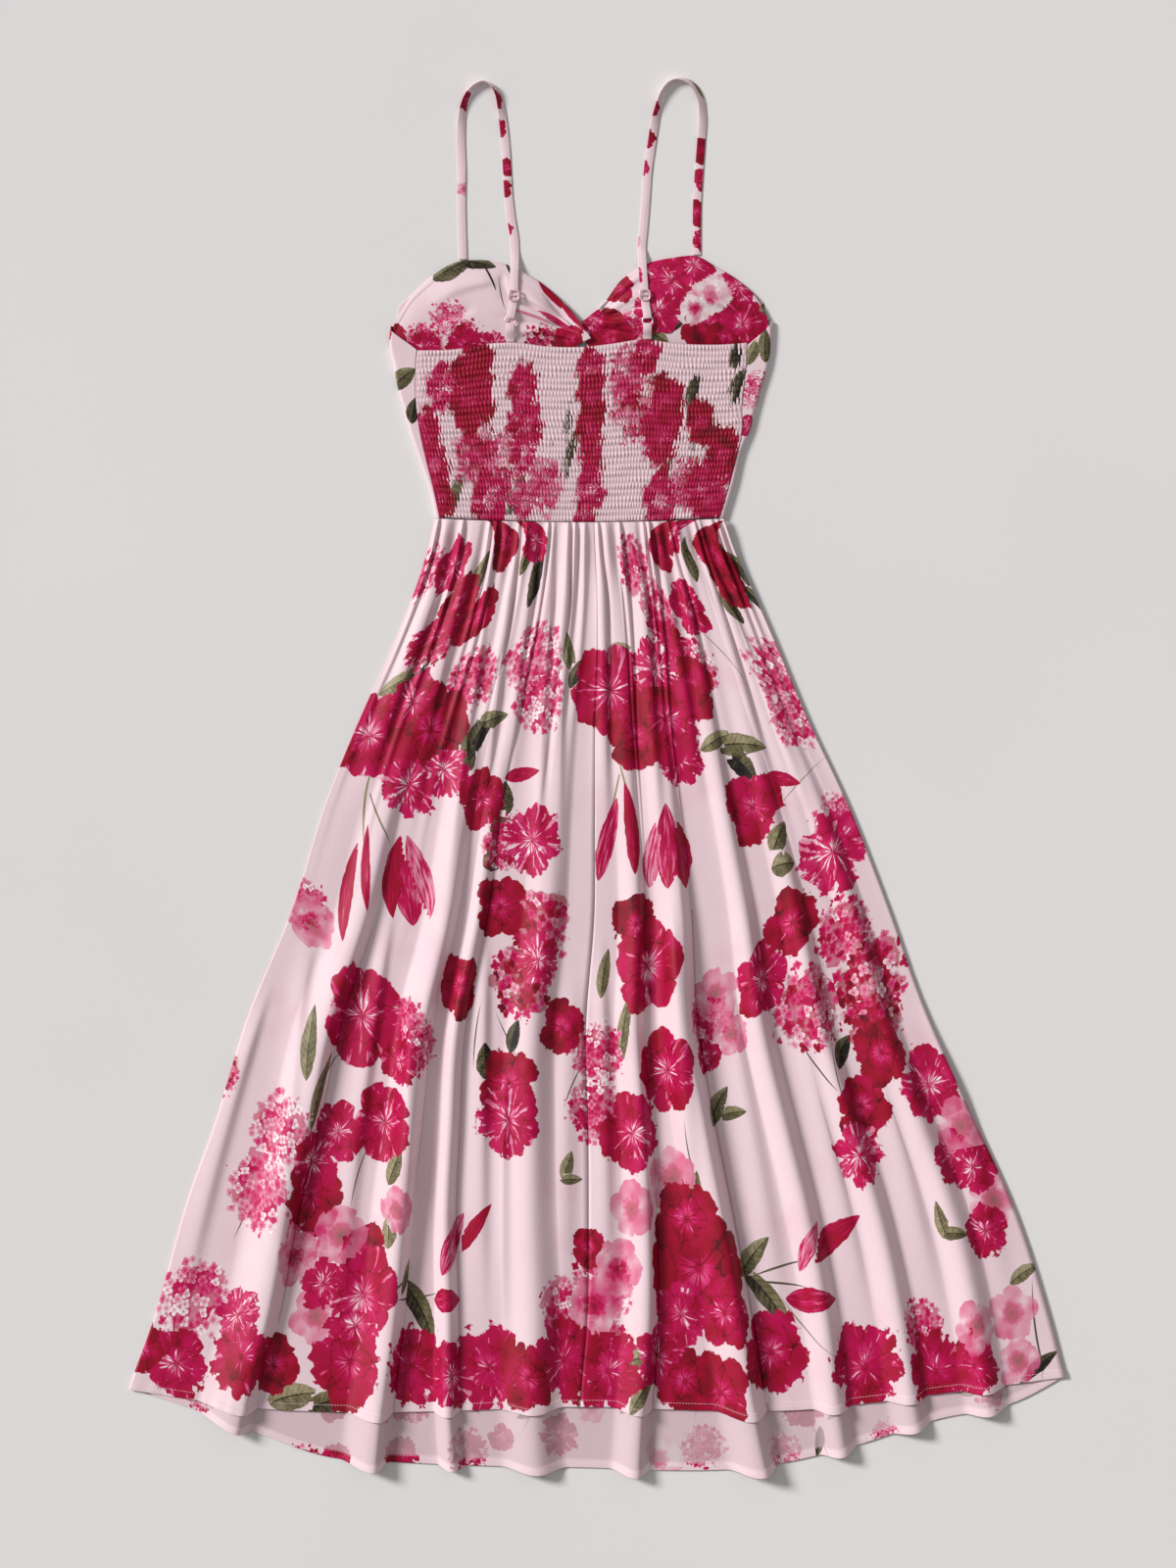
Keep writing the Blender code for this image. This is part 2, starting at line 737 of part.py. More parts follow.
def strap_route(strap):
    """The strap's route with its heights, from just outside the cup's edge."""
    start = strap[0]
    half_width = STRAP_WIDTH / 2
    start_y = SEAM_GAP + max(cup_top(start.x + dx) for dx in (-half_width, 0, half_width))
    route = [(start.x, start_y, CLOTH / 2, start.turn)]
    for item in strap[1:]:
        angle = math.radians(item.turn)
        half = half_width * abs(math.sin(angle)) + CLOTH / 2 * abs(math.cos(angle))
        under = highest_under(item.x, item.y) if item.turn > 90 else 0.0
        gap = LAYER_GAP if under > 0 else 0.0
        route.append((item.x, item.y, under + gap + half, item.turn))
    return route


def add_ring(name, x, y, z, material, bar):
    """A ring of round wire, with a bar across it on a slider."""
    bpy.ops.mesh.primitive_torus_add(
        major_segments=RING_SEGMENTS, minor_segments=WIRE_SEGMENTS,
        major_radius=RING_RADIUS * MM, minor_radius=WIRE / 2 * MM,
        location=(x * MM, y * MM, z * MM))
    ring = bpy.context.object
    ring.name = name
    ring.data.materials.clear()
    ring.data.materials.append(material)
    for owner in list(ring.users_collection):
        owner.objects.unlink(ring)
    bpy.data.collections["slip_dress"].objects.link(ring)
    ring.data.shade_smooth()
    if bar:
        bm = bmesh.new()
        bmesh.ops.create_cone(bm, cap_ends=True, segments=BAR_SEGMENTS,
                              radius1=BAR_RADIUS * MM, radius2=BAR_RADIUS * MM,
                              depth=2 * RING_RADIUS * MM,
                              matrix=Matrix.Rotation(math.pi / 2, 4, "Y"))
        mesh = bpy.data.meshes.new(name + "_bar")
        bm.to_mesh(mesh)
        bm.free()
        cutter = bpy.data.objects.new(name + "_bar", mesh)
        cutter.location = ring.location
        cutter.hide_render = True
        cutter.display_type = "WIRE"
        bpy.data.collections["cutters"].objects.link(cutter)
        join = ring.modifiers.new("bar", "BOOLEAN")
        join.operation = "UNION"
        join.object = cutter
    return ring


def make_straps(cloth, metal):
    for hardware, strap in zip(HARDWARE, (LEFT_STRAP, RIGHT_STRAP)):
        route = strap_route(strap)
        ring_z = bodice_top(hardware.ring_x, hardware.ring_y) + RING_ABOVE_CUP
        over_wire = ring_z + WIRE / 2 + SEAM_GAP + CLOTH / 2
        route[-2:] = [(item[0], item[1], max(item[2], over_wire), item[3]) for item in route[-2:]]
        add_ribbon("strap_" + hardware.side, route, cloth)
        heights = [item[2] for item in route]
        places = [item[1] for item in route]
        strap_z = max(height for height, place in zip(heights, places)
                      if abs(place - hardware.slider_y) < SLIDER_REACH)
        slider_z = strap_z + CLOTH / 2 + SEAM_GAP + WIRE / 2
        add_ring("slider_" + hardware.side, hardware.slider_x, hardware.slider_y, slider_z,
                 metal, bar=True)
        add_ring("ring_" + hardware.side, hardware.ring_x, hardware.ring_y, ring_z,
                 metal, bar=False)
        tab = []
        start_y = hardware.ring_y - TAB_OVERLAP
        half = STRAP_WIDTH / 2
        end_y = SEAM_GAP + max(back_top(hardware.ring_x + dx) for dx in (-half, 0, half))
        for step in range(TAB_STEPS + 1):
            part = step / TAB_STEPS
            y = start_y + (end_y - start_y) * part
            drop = smooth((part - TAB_DROP_START) / (1 - TAB_DROP_START))
            low = BODICE_INSIDE + CLOTH / 2
            tab.append((hardware.ring_x, y, over_wire + (low - over_wire) * drop, 0))
        add_ribbon("strap_tab_" + hardware.side, tab, cloth)


def main():
    clear_scene()
    for name in ("slip_dress", "cutters"):
        bpy.context.scene.collection.children.link(bpy.data.collections.new(name))
    floral = make_material("floral cloth", FLORAL, 0.55)
    inside = make_material("floral cloth wrong side", FLORAL_INSIDE, 0.6)
    metal = make_material("strap hardware", WHITE_METAL, 0.25, 0.6)
    make_skirt(floral, inside)
    make_side_panel("side_panel_left", LEFT_SIDE, -1, floral)
    make_side_panel("side_panel_right", RIGHT_SIDE, 1, floral)
    make_midriff(floral)
    make_bodice_back(floral)
    make_cups(floral, floral)
    make_straps(floral, metal)


main()
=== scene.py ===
"""The cloth, print, stitching and light of a slip dress that lies with its back up.

Lengths are millimetres unless a name or property says metres. The floor is Z = 0,
the straps point to +Y, the hem to -Y, and X runs across the dress.
"""

import math
from collections import namedtuple

import bpy
import numpy as np
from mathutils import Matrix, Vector


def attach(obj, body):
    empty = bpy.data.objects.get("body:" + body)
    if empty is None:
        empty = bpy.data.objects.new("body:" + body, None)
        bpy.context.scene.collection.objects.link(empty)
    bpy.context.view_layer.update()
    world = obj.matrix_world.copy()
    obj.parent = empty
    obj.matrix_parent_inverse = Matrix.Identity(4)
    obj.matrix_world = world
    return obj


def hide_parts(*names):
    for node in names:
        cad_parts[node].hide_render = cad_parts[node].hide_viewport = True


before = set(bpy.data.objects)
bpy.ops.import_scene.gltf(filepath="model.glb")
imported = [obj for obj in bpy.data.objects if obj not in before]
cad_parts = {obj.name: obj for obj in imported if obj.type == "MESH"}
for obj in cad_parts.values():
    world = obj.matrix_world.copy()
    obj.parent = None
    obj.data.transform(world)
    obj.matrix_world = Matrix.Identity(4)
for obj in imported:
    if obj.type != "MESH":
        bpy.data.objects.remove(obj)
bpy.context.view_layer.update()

bl_info = {
    "name": "Laid-out slip dress",
    "version": (1, 0, 0),
    "blender": (4, 5, 0),
    "location": "View3D > Sidebar > Dress",
    "description": "Sews a printed slip dress with a shirred back over its plain solids",
    "category": "Object",
}

MM = 0.001

# Cloth and seams, as on the solids
SOLID_CLOTH = 1.5
SEAM_GAP = 0.3
LAYER_GAP = 0.4
BODICE_INSIDE = 5.0
FOLD_RADIUS = (BODICE_INSIDE + SOLID_CLOTH) / 2
LINING_BELOW = SOLID_CLOTH + LAYER_GAP

# Waist curve
WAIST_Y = 262.0
WAIST_MIDDLE = -15.0
WAIST_DIP = 2.0
WAIST_HALF = 150.0

# Skirt form
SKIRT_LENGTH = 905.0
MIDDLE_DOWN = 469.0
FLUTES_START = 0.10
FLUTES_FULL = 0.62
FLUTE_NARROWING = 0.75
CREST_DROP = 0.55
GATHER_COLUMNS = 3
GATHER_HEIGHT = 4.6
GATHER_REACH = 105.0
GATHER_SWELL_LENGTH = 9.0
GATHER_AT_SEAM = 0.4
WAIST_RISE_LENGTH = 60.0
RIPPLE_HEIGHT = 0.5
RIPPLE_REACH = 14.0
BROAD_SIDE = 1.7
STEEP_SIDE = 0.8

# How far the thin cloth lies inside the faces of its solid
CLOTH_INSET = 0.3
LAYER_INSET = 0.2

# Rows of the skirt's mesh below the waist and above the hem's edge
ROWS_AT_WAIST = (0, 1.0, 2.2, 3.6)
ROWS_AT_HEM = (9.5, 8.4, 7.6, 6.8, 5.0, 3.0, 1.5, 0.6, 0.0)
ROWS_END = 12
STITCH_ROW = -6
FRONT_STEP_SHARE = 1.25

# Hem, measured up from its edge, with its stitches
HEM_FOLD_WIDTH = 8.4
HEM_FOLD_EDGE = 1.2
HEM_FOLD_HEIGHT = 0.7
STITCH_LINE = 6.8
STITCH_LINE_WIDTH = 0.7
STITCH_LINE_DEPTH = 0.35
STITCH_LENGTH = 2.3
STITCH_PITCH = 3.1
STITCH_RADIUS = 0.28
FRONT_HEM_BAND = 8.0

# Print: how the cloth widens at the gathers, and the hidden front's place on the cloth
GATHERED_CLOTH = 0.5
GATHERED_REACH = 110.0
SKIRT_SQUEEZE = 0.86
BODICE_SQUEEZE = 0.6
FRONT_PRINT_PITCH = 54.0
BAND_PRINT_PITCH = 60
FRONT_CLOTH_SHIFT = np.array([0.31, 0.17])

# Shirred back
ELASTIC_ROWS = 28
PUCKERS = 94
RIB_HEIGHT = 2.1
# Painted shade: how far the shirred back's colour is darkened in the hollows between its puckers
PAINTED_SHADE_STRENGTH = 0.28
BACK_LEFT_X = -180
BACK_WIDTH = 330

# Front band
BAND_LEFT_X = -165
BAND_WIDTH = 295
BAND_HEIGHT = 0.2

# Skirt outline, a row for each section down from the waist
SKIRT_OUTLINE = np.array([
    # down, left, right
    (0, -165.5, 129),
    (30, -172, 139),
    (69, -184, 156),
    (134, -209, 184),
    (199, -238, 211),
    (299, -278, 257),
    (399, -309, 296),
    (519, -358, 339),
    (619, -389, 384),
    (699, -418, 421),
    (819, -453, 461),
    (885, -478, 478),
    (985, -514, 506),
], dtype=float)

# Length of each hem below the waist, at places across the hem
HEMS = np.array([
    # x, back, front
    (-478, 887, 887),
    (-438, 893, 898),
    (-350, 905, 928),
    (-270, 909, 955),
    (-189, 909, 962),
    (-13, 904, 967),
    (131, 908, 968),
    (209, 907, 956),
    (261, 902, 943),
    (341, 892, 918),
    (421, 882, 901),
    (478, 875, 875),
], dtype=float)

# Flutes: the crest's X at the middle section and at the hem, its flanks' widths,
# its height at the hem, and the cloth's shares before it and up and down it
Flute = namedtuple("Flute", "mid hem left right height before rise fall")
LEFT_FLUTES = [
    Flute(-259, -364, 46, 17, 15, 5, 5, 3),
    Flute(-168, -223, 36, 14, 17, 5, 4, 3),
    Flute(-135, -152, 15, 12, 11, 2, 2, 2),
    Flute(-60, -64, 38, 30, 13, 3, 4, 3),
]
RIGHT_FLUTES = [
    Flute(39, 44, 28, 12, 13, 2, 3, 2),
    Flute(88, 159, 40, 14, 18, 3, 4, 3),
    Flute(159, 244, 25, 16, 13, 2, 2, 2),
    Flute(217, 321, 28, 16, 12, 2, 3, 2),
    Flute(278, 397, 28, 20, 12, 2, 3, 2),
]
AFTER_LEFT = 1
AFTER_RIGHT = 2
SEAM_TRACK = (-3.0, -8.0, -17.0)

# Sides of the bodice: outline, side seam on the back and edge of the layer below
LEFT_SIDE = np.array([
    # y, edge, seam, under
    (460, -210.5, -182, -204),
    (443, -212, -182, -203),
    (421, -207.5, -184.5, -196),
    (398, -203.5, -185, -190),
    (378, -198, -184, -182),
    (353, -191, -180.5, -173),
    (323, -181, -174, -160),
    (293, -171, -166.5, -149),
    (262, -164.5, -160, -141),
], dtype=float)
RIGHT_SIDE = np.array([
    (465, 179, 153, 172),
    (448, 178.5, 153, 170),
    (421, 175, 152.5, 161),
    (398, 168, 150, 153),
    (378, 162.5, 148, 147),
    (353, 156, 148, 138),
    (333, 148, 144, 128),
    (303, 141, 136.5, 119),
    (262, 129, 124.5, 106),
], dtype=float)
ARMHOLE_SLANT = 25.0

# Top edge of the shirred back
BACK_TOP = np.array([
    # x, y
    (-182, 435),
    (-144, 436),
    (-102, 442.5),
    (-84, 443),
    (-49, 439),
    (-9, 439),
    (16, 442),
    (43, 446),
    (81, 442),
    (126, 441),
    (153, 443),
], dtype=float)

# Cups, from the middle of the front out to the armhole
LEFT_CUP = np.array([
    # x, top, how far the lining's edge lies inside
    (-6, 448, 0.8),
    (-15, 461, 0.8),
    (-29, 479, 0.8),
    (-49, 498, 0.8),
    (-69, 512, 0.8),
    (-94, 523.5, 0.8),
    (-119, 527.5, 0.8),
    (-144, 525, 0.8),
    (-164, 514, 0.8),
    (-187, 493.5, 0.8),
    (-203, 471, 0.8),
], dtype=float)
RIGHT_CUP = np.array([
    (-15, 465, 0.8),
    (-7, 471, 0.8),
    (9, 486, 0.8),
    (24, 506, 8.0),
    (40, 517, 5.0),
    (55, 525, 2.0),
    (76, 529.5, 0.8),
    (101, 531.5, 0.8),
    (121, 521, 0.8),
    (141, 509, 0.8),
    (159, 494, 0.8),
    (171, 479, 0.8),
], dtype=float)
CUP_EDGE_Y = 441.0
UNDERBUST_Y = 388.0
CUP_HEIGHT = 6.5
CUP_CREASE_LINES = (0.55, 0.28)
CUP_CREASE_WIDTH = 0.06
CUP_CREASE_SHARE = 0.75
CUPS_MEET_X = -10.0
CUP_RAMP = 10.0
DEEPEST_FOLD = -2.0
BINDING_WIDTH = 8.5
BINDING_STITCH = 7.6
BEYOND_CUP = 99.0
CENTRE_FRONT = -14.5
CENTRE_SPREAD = 4.5
CROSSING_HEIGHT = 4.0
LINING_SIDE_REACH = 3.0

# Straps: the ribbon's route, and how far it is turned on its edge in degrees
STRAP_WIDTH = 8.5
LEFT_STRAP = np.array([
    # x, y, turn
    (-136.5, 526, 0),
    (-137, 543, 0),
    (-138, 578, 0),
    (-138, 626, 0),
    (-138.5, 658, 12),
    (-136.5, 681, 32),
    (-131.5, 696, 52),
    (-123, 706, 72),
    (-115.5, 709.5, 88),
    (-108, 706.5, 104),
    (-102, 698, 122),
    (-98, 685, 146),
    (-95.5, 668, 168),
    (-93, 643, 180),
    (-91.5, 618, 180),
    (-90, 593, 180),
    (-87, 568, 180),
    (-84, 548, 180),
    (-83.5, 534, 180),
    (-84, 517, 180),
    (-84.3, 503, 180),
    (-84.5, 490, 180),
    (-86, 479, 180),
    (-87.5, 471.5, 180),
    (-88, 467, 180),
], dtype=float)
RIGHT_STRAP = np.array([
    (102, 532, 0),
    (102, 558, 0),
    (102.5, 588, 0),
    (104.5, 621, 0),
    (106.5, 648, 8),
    (108, 675, 22),
    (105.5, 693, 36),
    (98, 706, 50),
    (89, 711.5, 66),
    (81, 712, 84),
    (74, 708.5, 100),
    (68, 700, 118),
    (63, 685, 140),
    (59.5, 668, 162),
    (55.5, 643, 178),
    (52, 618, 180),
    (50.3, 593, 180),
    (48, 563, 180),
    (46, 540, 180),
    (46.5, 524, 180),
    (47.5, 508, 180),
    (48.8, 491, 180),
    (50, 479, 180),
    (51.3, 471.5, 180),
    (51.6, 467, 180),
], dtype=float)
WIRE = 1.8
RING_RADIUS = 5.2
RING_ABOVE_CUP = 2.2
RING_SQUARENESS = 0.0
SLIDER_SQUARENESS = 0.14
SLIDER_REACH = 15
WIRE_FLATNESS = 0.85
BAR_SHARE = 0.45
TAB_OVERLAP = 2.6
STRAP_STEP = 1.6
STRAP_SIDES = 20
ABOVE_FLOOR = 0.1
SEAM_WELD = 0.01
Hardware = namedtuple("Hardware", "side slider_x slider_y ring_x ring_y")
HARDWARE = [
    Hardware("left", -84.6, 490.5, -88.2, 465.0),
    Hardware("right", 48.8, 491.0, 51.6, 465.0),
]

# Stage
VIEW_MIDDLE = (-9.0, -7.0)
WINDOW_FROM = (-0.90, 0.42, 0.62)


# Small tools for shapes

def smooth(value):
    value = np.clip(value, 0.0, 1.0)
    return value * value * (3 - 2 * value)


def curve(at, xs, ys):
    """A smooth curve through given points, read at some places."""
    xs = np.asarray(xs, dtype=float)
    ys = np.asarray(ys, dtype=float)
    slopes = np.gradient(ys, xs)
    index = np.clip(np.searchsorted(xs, at) - 1, 0, len(xs) - 2)
    width = xs[index + 1] - xs[index]
    t = np.clip((at - xs[index]) / width, 0, 1)
    return (ys[index] * (1 + 2 * t) * (1 - t) ** 2 + ys[index + 1] * t * t * (3 - 2 * t)
            + slopes[index] * width * t * (1 - t) ** 2
            + slopes[index + 1] * width * t * t * (t - 1))


def waist_y(x):
    return WAIST_Y - WAIST_DIP + 2 * WAIST_DIP * ((x - WAIST_MIDDLE) / WAIST_HALF) ** 2


def lift_points(points, height):
    moved = points.copy()
    moved[..., 2] += height
    return moved


def row_arcs(points, start=0):
    """Distance along each row of points, from one column."""
    steps = np.linalg.norm(np.diff(points, axis=1), axis=2)
    arcs = np.concatenate([np.zeros((len(points), 1)), np.cumsum(steps, axis=1)], axis=1)
    return arcs - arcs[:, start:start + 1 or None]


def column_arcs(points):
    """Distance down each column of points."""
    steps = np.linalg.norm(np.diff(points, axis=0), axis=2)
    return np.concatenate([np.zeros((1, points.shape[1])), np.cumsum(steps, axis=0)], axis=0)


def move_out(points, distance):
    """Move a sheet's points along its own normals."""
    across = np.gradient(points, axis=1)
    down = np.gradient(points, axis=0)
    normals = np.cross(down, across)
    normals /= np.linalg.norm(normals, axis=2, keepdims=True)
    return points + normals * np.asarray(distance)[..., None]


# Sheets

def deselect():
    bpy.ops.object.select_all(action="DESELECT")


def select_only(item):
    deselect()
    item.select_set(True)
    bpy.context.view_layer.objects.active = item


def new_mesh(name, verts, faces):
    mesh = bpy.data.meshes.new(name)
    mesh.from_pydata(verts.tolist(), [], faces)
    mesh.update()
    item = bpy.data.objects.new(name, mesh)
    bpy.context.scene.collection.objects.link(item)
    return item


def grid_faces(rows, columns):
    index = np.arange(rows * columns).reshape(rows, columns)
    corners = (index[:-1, :-1], index[1:, :-1], index[1:, 1:], index[:-1, 1:])
    return np.stack([corner.ravel() for corner in corners], axis=1).tolist()


def make_sheet(name, points, cloth):
    """Make a thin wall of cloth from rows of points, with the cloth's own flat
    coordinates kept for the print. The points are the wall's upper side."""
    rows, columns = points.shape[:2]
    sheet = new_mesh(name, points.reshape(-1, 3) * MM, grid_faces(rows, columns))
    wall = sheet.modifiers.new("wall", "SOLIDIFY")
    wall.thickness = sizes().cloth_thickness
    wall.offset = -1
    wall.material_offset = 1
    wall.material_offset_rim = 0
    select_only(sheet)
    bpy.ops.object.modifier_apply(modifier="wall")
    sheet.data.shade_smooth()
    flat = cloth.reshape(-1, 2)
    repeats = len(sheet.data.vertices) // len(flat)
    return sheet, np.tile(flat, (repeats, 1))


def dress(piece, node, materials):
    piece.data.materials.clear()
    for material in materials:
        piece.data.materials.append(material)
    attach(piece, "root")
    if node:
        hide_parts(node)


# Skirt

def skirt_edges(down):
    left = curve(down, SKIRT_OUTLINE[:, 0], SKIRT_OUTLINE[:, 1])
    right = curve(down, SKIRT_OUTLINE[:, 0], SKIRT_OUTLINE[:, 2])
    return left, right


def hem_downs(hems, front):
    return curve(hems, HEMS[:, 0], HEMS[:, 2 if front else 1])


def panel_columns(flutes, start, end, after, fineness):
    """X at the middle section and hem, height, and place across of each fine column."""
    mids = [start[1]]
    hems = [start[2]]
    heights = [0.0]
    for flute in flutes:
        feet = (
            (flute.mid - flute.left * FLUTE_NARROWING, flute.hem - flute.left, flute.before, 0, 0),
            (flute.mid, flute.hem, flute.rise, 0, flute.height),
            (flute.mid + flute.right * FLUTE_NARROWING, flute.hem + flute.right,
             flute.fall, flute.height, 0),
        )
        for mid, hem, count, low, high in feet:
            steps = np.arange(1, count * fineness + 1) / (count * fineness)
            from_mid = mids[-1]
            from_hem = hems[-1]
            mids.extend(from_mid + (mid - from_mid) * steps)
            hems.extend(from_hem + (hem - from_hem) * steps)
            heights.extend(low + (high - low) * smooth(steps))
    steps = np.arange(1, after * fineness + 1) / (after * fineness)
    from_mid = mids[-1]
    from_hem = hems[-1]
    mids.extend(from_mid + (end[1] - from_mid) * steps)
    hems.extend(from_hem + (end[2] - from_hem) * steps)
    heights.extend(np.zeros(len(steps)))
    waists = np.linspace(start[0], end[0], len(mids))
    places = np.arange(len(mids)) / fineness
    return np.array([waists, mids, hems, heights, places])


def skirt_points(columns, downs):
    """Points of the skirt's form on the floor, at each column and distance down."""
    waists, mids, hems, heights, _ = columns
    middle = MIDDLE_DOWN / SKIRT_LENGTH
    part = downs / SKIRT_LENGTH
    shares = []
    for x, down in ((waists, 0.0), (mids, MIDDLE_DOWN), (hems, hem_downs(hems, front=False))):
        left, right = skirt_edges(down)
        shares.append((x - left) / (right - left))
    share = (shares[0] * (part - middle) * (part - 1) / middle
             + shares[1] * part * (part - 1) / (middle * (middle - 1))
             + shares[2] * part * (part - middle) / (1 - middle))
    left, right = skirt_edges(downs)
    x = left + (right - left) * share
    growth = smooth((part - FLUTES_START) / (FLUTES_FULL - FLUTES_START))
    z = heights * growth
    top = waist_y(x) * (1 - part) + WAIST_Y * part
    y = top - SEAM_GAP - downs - CREST_DROP * z * part ** 2
    return np.stack([x, y, z], axis=-1)


def gather_heights(places, downs):
    """Height of the waist's gathers above the form, uneven from one to the next."""
    uneven = places + 0.9 * np.sin(places * 0.37) + 0.7 * np.sin(places * 0.83)
    gather = np.floor(uneven / GATHER_COLUMNS)
    phase = uneven / GATHER_COLUMNS - gather
    lean = 0.60 + 0.12 * np.sin(2.9 * gather + 1.0)
    rising = smooth(phase / lean)
    falling = smooth((1 - phase) / (1 - lean))
    wave = np.where(phase < lean, rising, falling) ** 1.4
    height = GATHER_HEIGHT * (1 + 0.35 * np.sin(1.7 * gather) + 0.25 * np.sin(4.1 * gather))
    length = GATHER_REACH * (1 + 0.9 * np.abs(np.sin(2.3 * gather + 0.4)))
    swell = GATHER_AT_SEAM + (1 - GATHER_AT_SEAM) * (1 - np.exp(-downs / GATHER_SWELL_LENGTH))
    gathers = wave * height * swell * np.exp(-(downs / length) ** 1.3)
    rise = (BODICE_INSIDE - LINING_BELOW) * (1 - smooth(downs / WAIST_RISE_LENGTH))
    return gathers + rise


# Shader graph

class Socket:
    """A shader socket whose sums are written as Python expressions."""

    def __init__(self, graph, output):
        self.graph = graph
        self.output = output

    def __add__(self, other):
        return self.graph.math("ADD", self, other)

    def __sub__(self, other):
        return self.graph.math("SUBTRACT", self, other)

    def __mul__(self, other):
        return self.graph.math("MULTIPLY", self, other)

    def __truediv__(self, other):
        return self.graph.math("DIVIDE", self, other)

    def __pow__(self, other):
        return self.graph.math("POWER", self, other)

    def __radd__(self, other):
        return self.graph.math("ADD", other, self)

    def __rsub__(self, other):
        return self.graph.math("SUBTRACT", other, self)

    def __rmul__(self, other):
        return self.graph.math("MULTIPLY", other, self)

    def __abs__(self):
        return self.graph.math("ABSOLUTE", self)

    def beside(self, which):
        """Another output of the same node."""
        return Socket(self.graph, self.output.node.outputs[which])


class Graph:
    """The node tree of one material."""

    def __init__(self, name):
        self.material = bpy.data.materials.new(name)
        self.material.use_nodes = True
        self.tree = self.material.node_tree
        self.shader = self.tree.nodes["Principled BSDF"]

    def feed(self, socket, value):
        if isinstance(value, Socket):
            self.tree.links.new(value.output, socket)
        elif value is not None:
            socket.default_value = value

    def node(self, kind, settings, values, output=0):
        """Add a node, and give one of its outputs."""
        added = self.tree.nodes.new(kind)
        for name, setting in settings.items():
            setattr(added, name, setting)
        for name, value in values.items():
            self.feed(added.inputs[name], value)
        return Socket(self, added.outputs[output])

    def math(self, operation, *values):
        return self.node("ShaderNodeMath", {"operation": operation}, dict(enumerate(values)))

    def step(self, value, low, high):
        """A soft step of a value, 0 at low and 1 at high."""
        values = {"Value": value, "From Min": low, "From Max": high}
        return self.node("ShaderNodeMapRange", {"interpolation_type": "SMOOTHSTEP"}, values)

    def vector(self, x, y, z=0.0):
        return self.node("ShaderNodeCombineXYZ", {}, {"X": x, "Y": y, "Z": z})

    def split(self, vector):
        first = self.node("ShaderNodeSeparateXYZ", {}, {0: vector})
        return first, first.beside(1), first.beside(2)

    def attribute(self, name):
        return self.node("ShaderNodeAttribute", {"attribute_name": name}, {}, "Vector")

    def mix(self, factor, first, second, blend="MIX"):
        """Mix two colours."""
        settings = {"data_type": "RGBA", "blend_type": blend}
        return self.node("ShaderNodeMix", settings, {0: factor, 6: first, 7: second}, 2)

    def noise(self, vector, scale, detail):
        values = {"Vector": vector, "Scale": scale, "Detail": detail}
        return self.node("ShaderNodeTexNoise", {}, values, "Fac")

    def ramp(self, value, stops):
        """A colour ramp through (place, colour) stops."""
        ramp = self.node("ShaderNodeValToRGB", {}, {"Fac": value}, "Color")
        elements = ramp.output.node.color_ramp.elements
        elements[0].position, elements[0].color = stops[0]
        elements[1].position, elements[1].color = stops[-1]
        for place, color in stops[1:-1]:
            elements.new(place).color = color
        return ramp

    def bump(self, height, distance, strength):
        values = {"Height": height, "Distance": distance, "Strength": strength}
        return self.node("ShaderNodeBump", {}, values)


def paint(red, green, blue):
    """A colour for the shader from a screen colour."""
    parts = [part / 255 for part in (red, green, blue)]
    linear = [part / 12.92 if part < 0.04 else ((part + 0.055) / 1.055) ** 2.4 for part in parts]
    return (*linear, 1.0)


def colors():
    return bpy.context.scene.dress_colors


def ink_color(graph, ink):
    """The flowers' colour for an amount of ink, from bare cloth to dark maroon."""
    return graph.ramp(ink, [
        (0.0, colors().petal_white),
        (0.16, colors().pale_pink),
        (0.34, colors().rose),
        (0.50, colors().magenta),
        (0.74, colors().crimson),
        (1.0, colors().maroon),
    ])


def draw_bloom(graph, under, layer):
    """Open flowers of several petals, drawn in a layer's own coordinates."""
    place = graph.attribute(layer)
    x, y, seed = graph.split(place)
    petals, tone, ragged = graph.split(graph.attribute(layer + "_kind"))
    radius = graph.math("SQRT", x * x + y * y)
    angle = graph.math("ARCTAN2", y, x)
    shifted = graph.vector(x, y, seed * 13.0)
    wander = graph.noise(shifted, 1.5, 1.0)
    fray = graph.noise(shifted, 5.5, 3.0)
    turned = angle * petals + seed * 40.0 + (wander - 0.5) * 4.4
    lobe = abs(graph.math("SINE", turned * 0.5))
    edge = 0.72 + 0.22 * lobe ** 0.5 + (wander - 0.5) * 0.5 + (0.10 + ragged) * (fray - 0.5)
    inner_lobe = abs(graph.math("COSINE", turned * 0.5))
    inner_edge = 0.36 + 0.18 * inner_lobe + 0.5 * (fray - 0.5)
    reach = radius / edge
    spokes = graph.vector(graph.math("COSINE", angle) * 2.2, graph.math("SINE", angle) * 2.2,
                          reach * 0.9 + seed * 17.0)
    streaks = graph.noise(spokes, 2.4, 3.0)
    full = graph.step(tone, 0.0, 0.2)
    light = graph.step(streaks + 0.24 * (0.6 - tone) * full, 0.57, 0.66) * full
    gaps = (1.0 - graph.step(lobe, 0.0, 0.20)) * graph.step(radius, 0.2, 0.45) * full
    ring = (1.0 - graph.step(abs(radius - inner_edge), 0.0, 0.04)) * full
    heart = 1.0 - graph.step(radius, 0.04, 0.12)
    threads = graph.step(streaks, 0.44, 0.52) * (1.0 - graph.step(radius, 0.16, 0.44)) * full
    glow = (1.0 - full) * (1.0 - graph.step(radius + 0.5 * (fray - 0.5), 0.12, 0.5))
    ink = (0.34 + 0.40 * tone + (wander - 0.5) * 0.7 - 0.40 * light + 0.14 * gaps
           + 0.2 * ring - 0.42 * threads * (1.0 - ragged) + 0.2 * heart + 0.42 * glow)
    mask = graph.step(edge - radius, 0.0, 0.03)
    cover = 0.80 + 0.20 * full
    return graph.mix(mask * cover, under, ink_color(graph, ink))


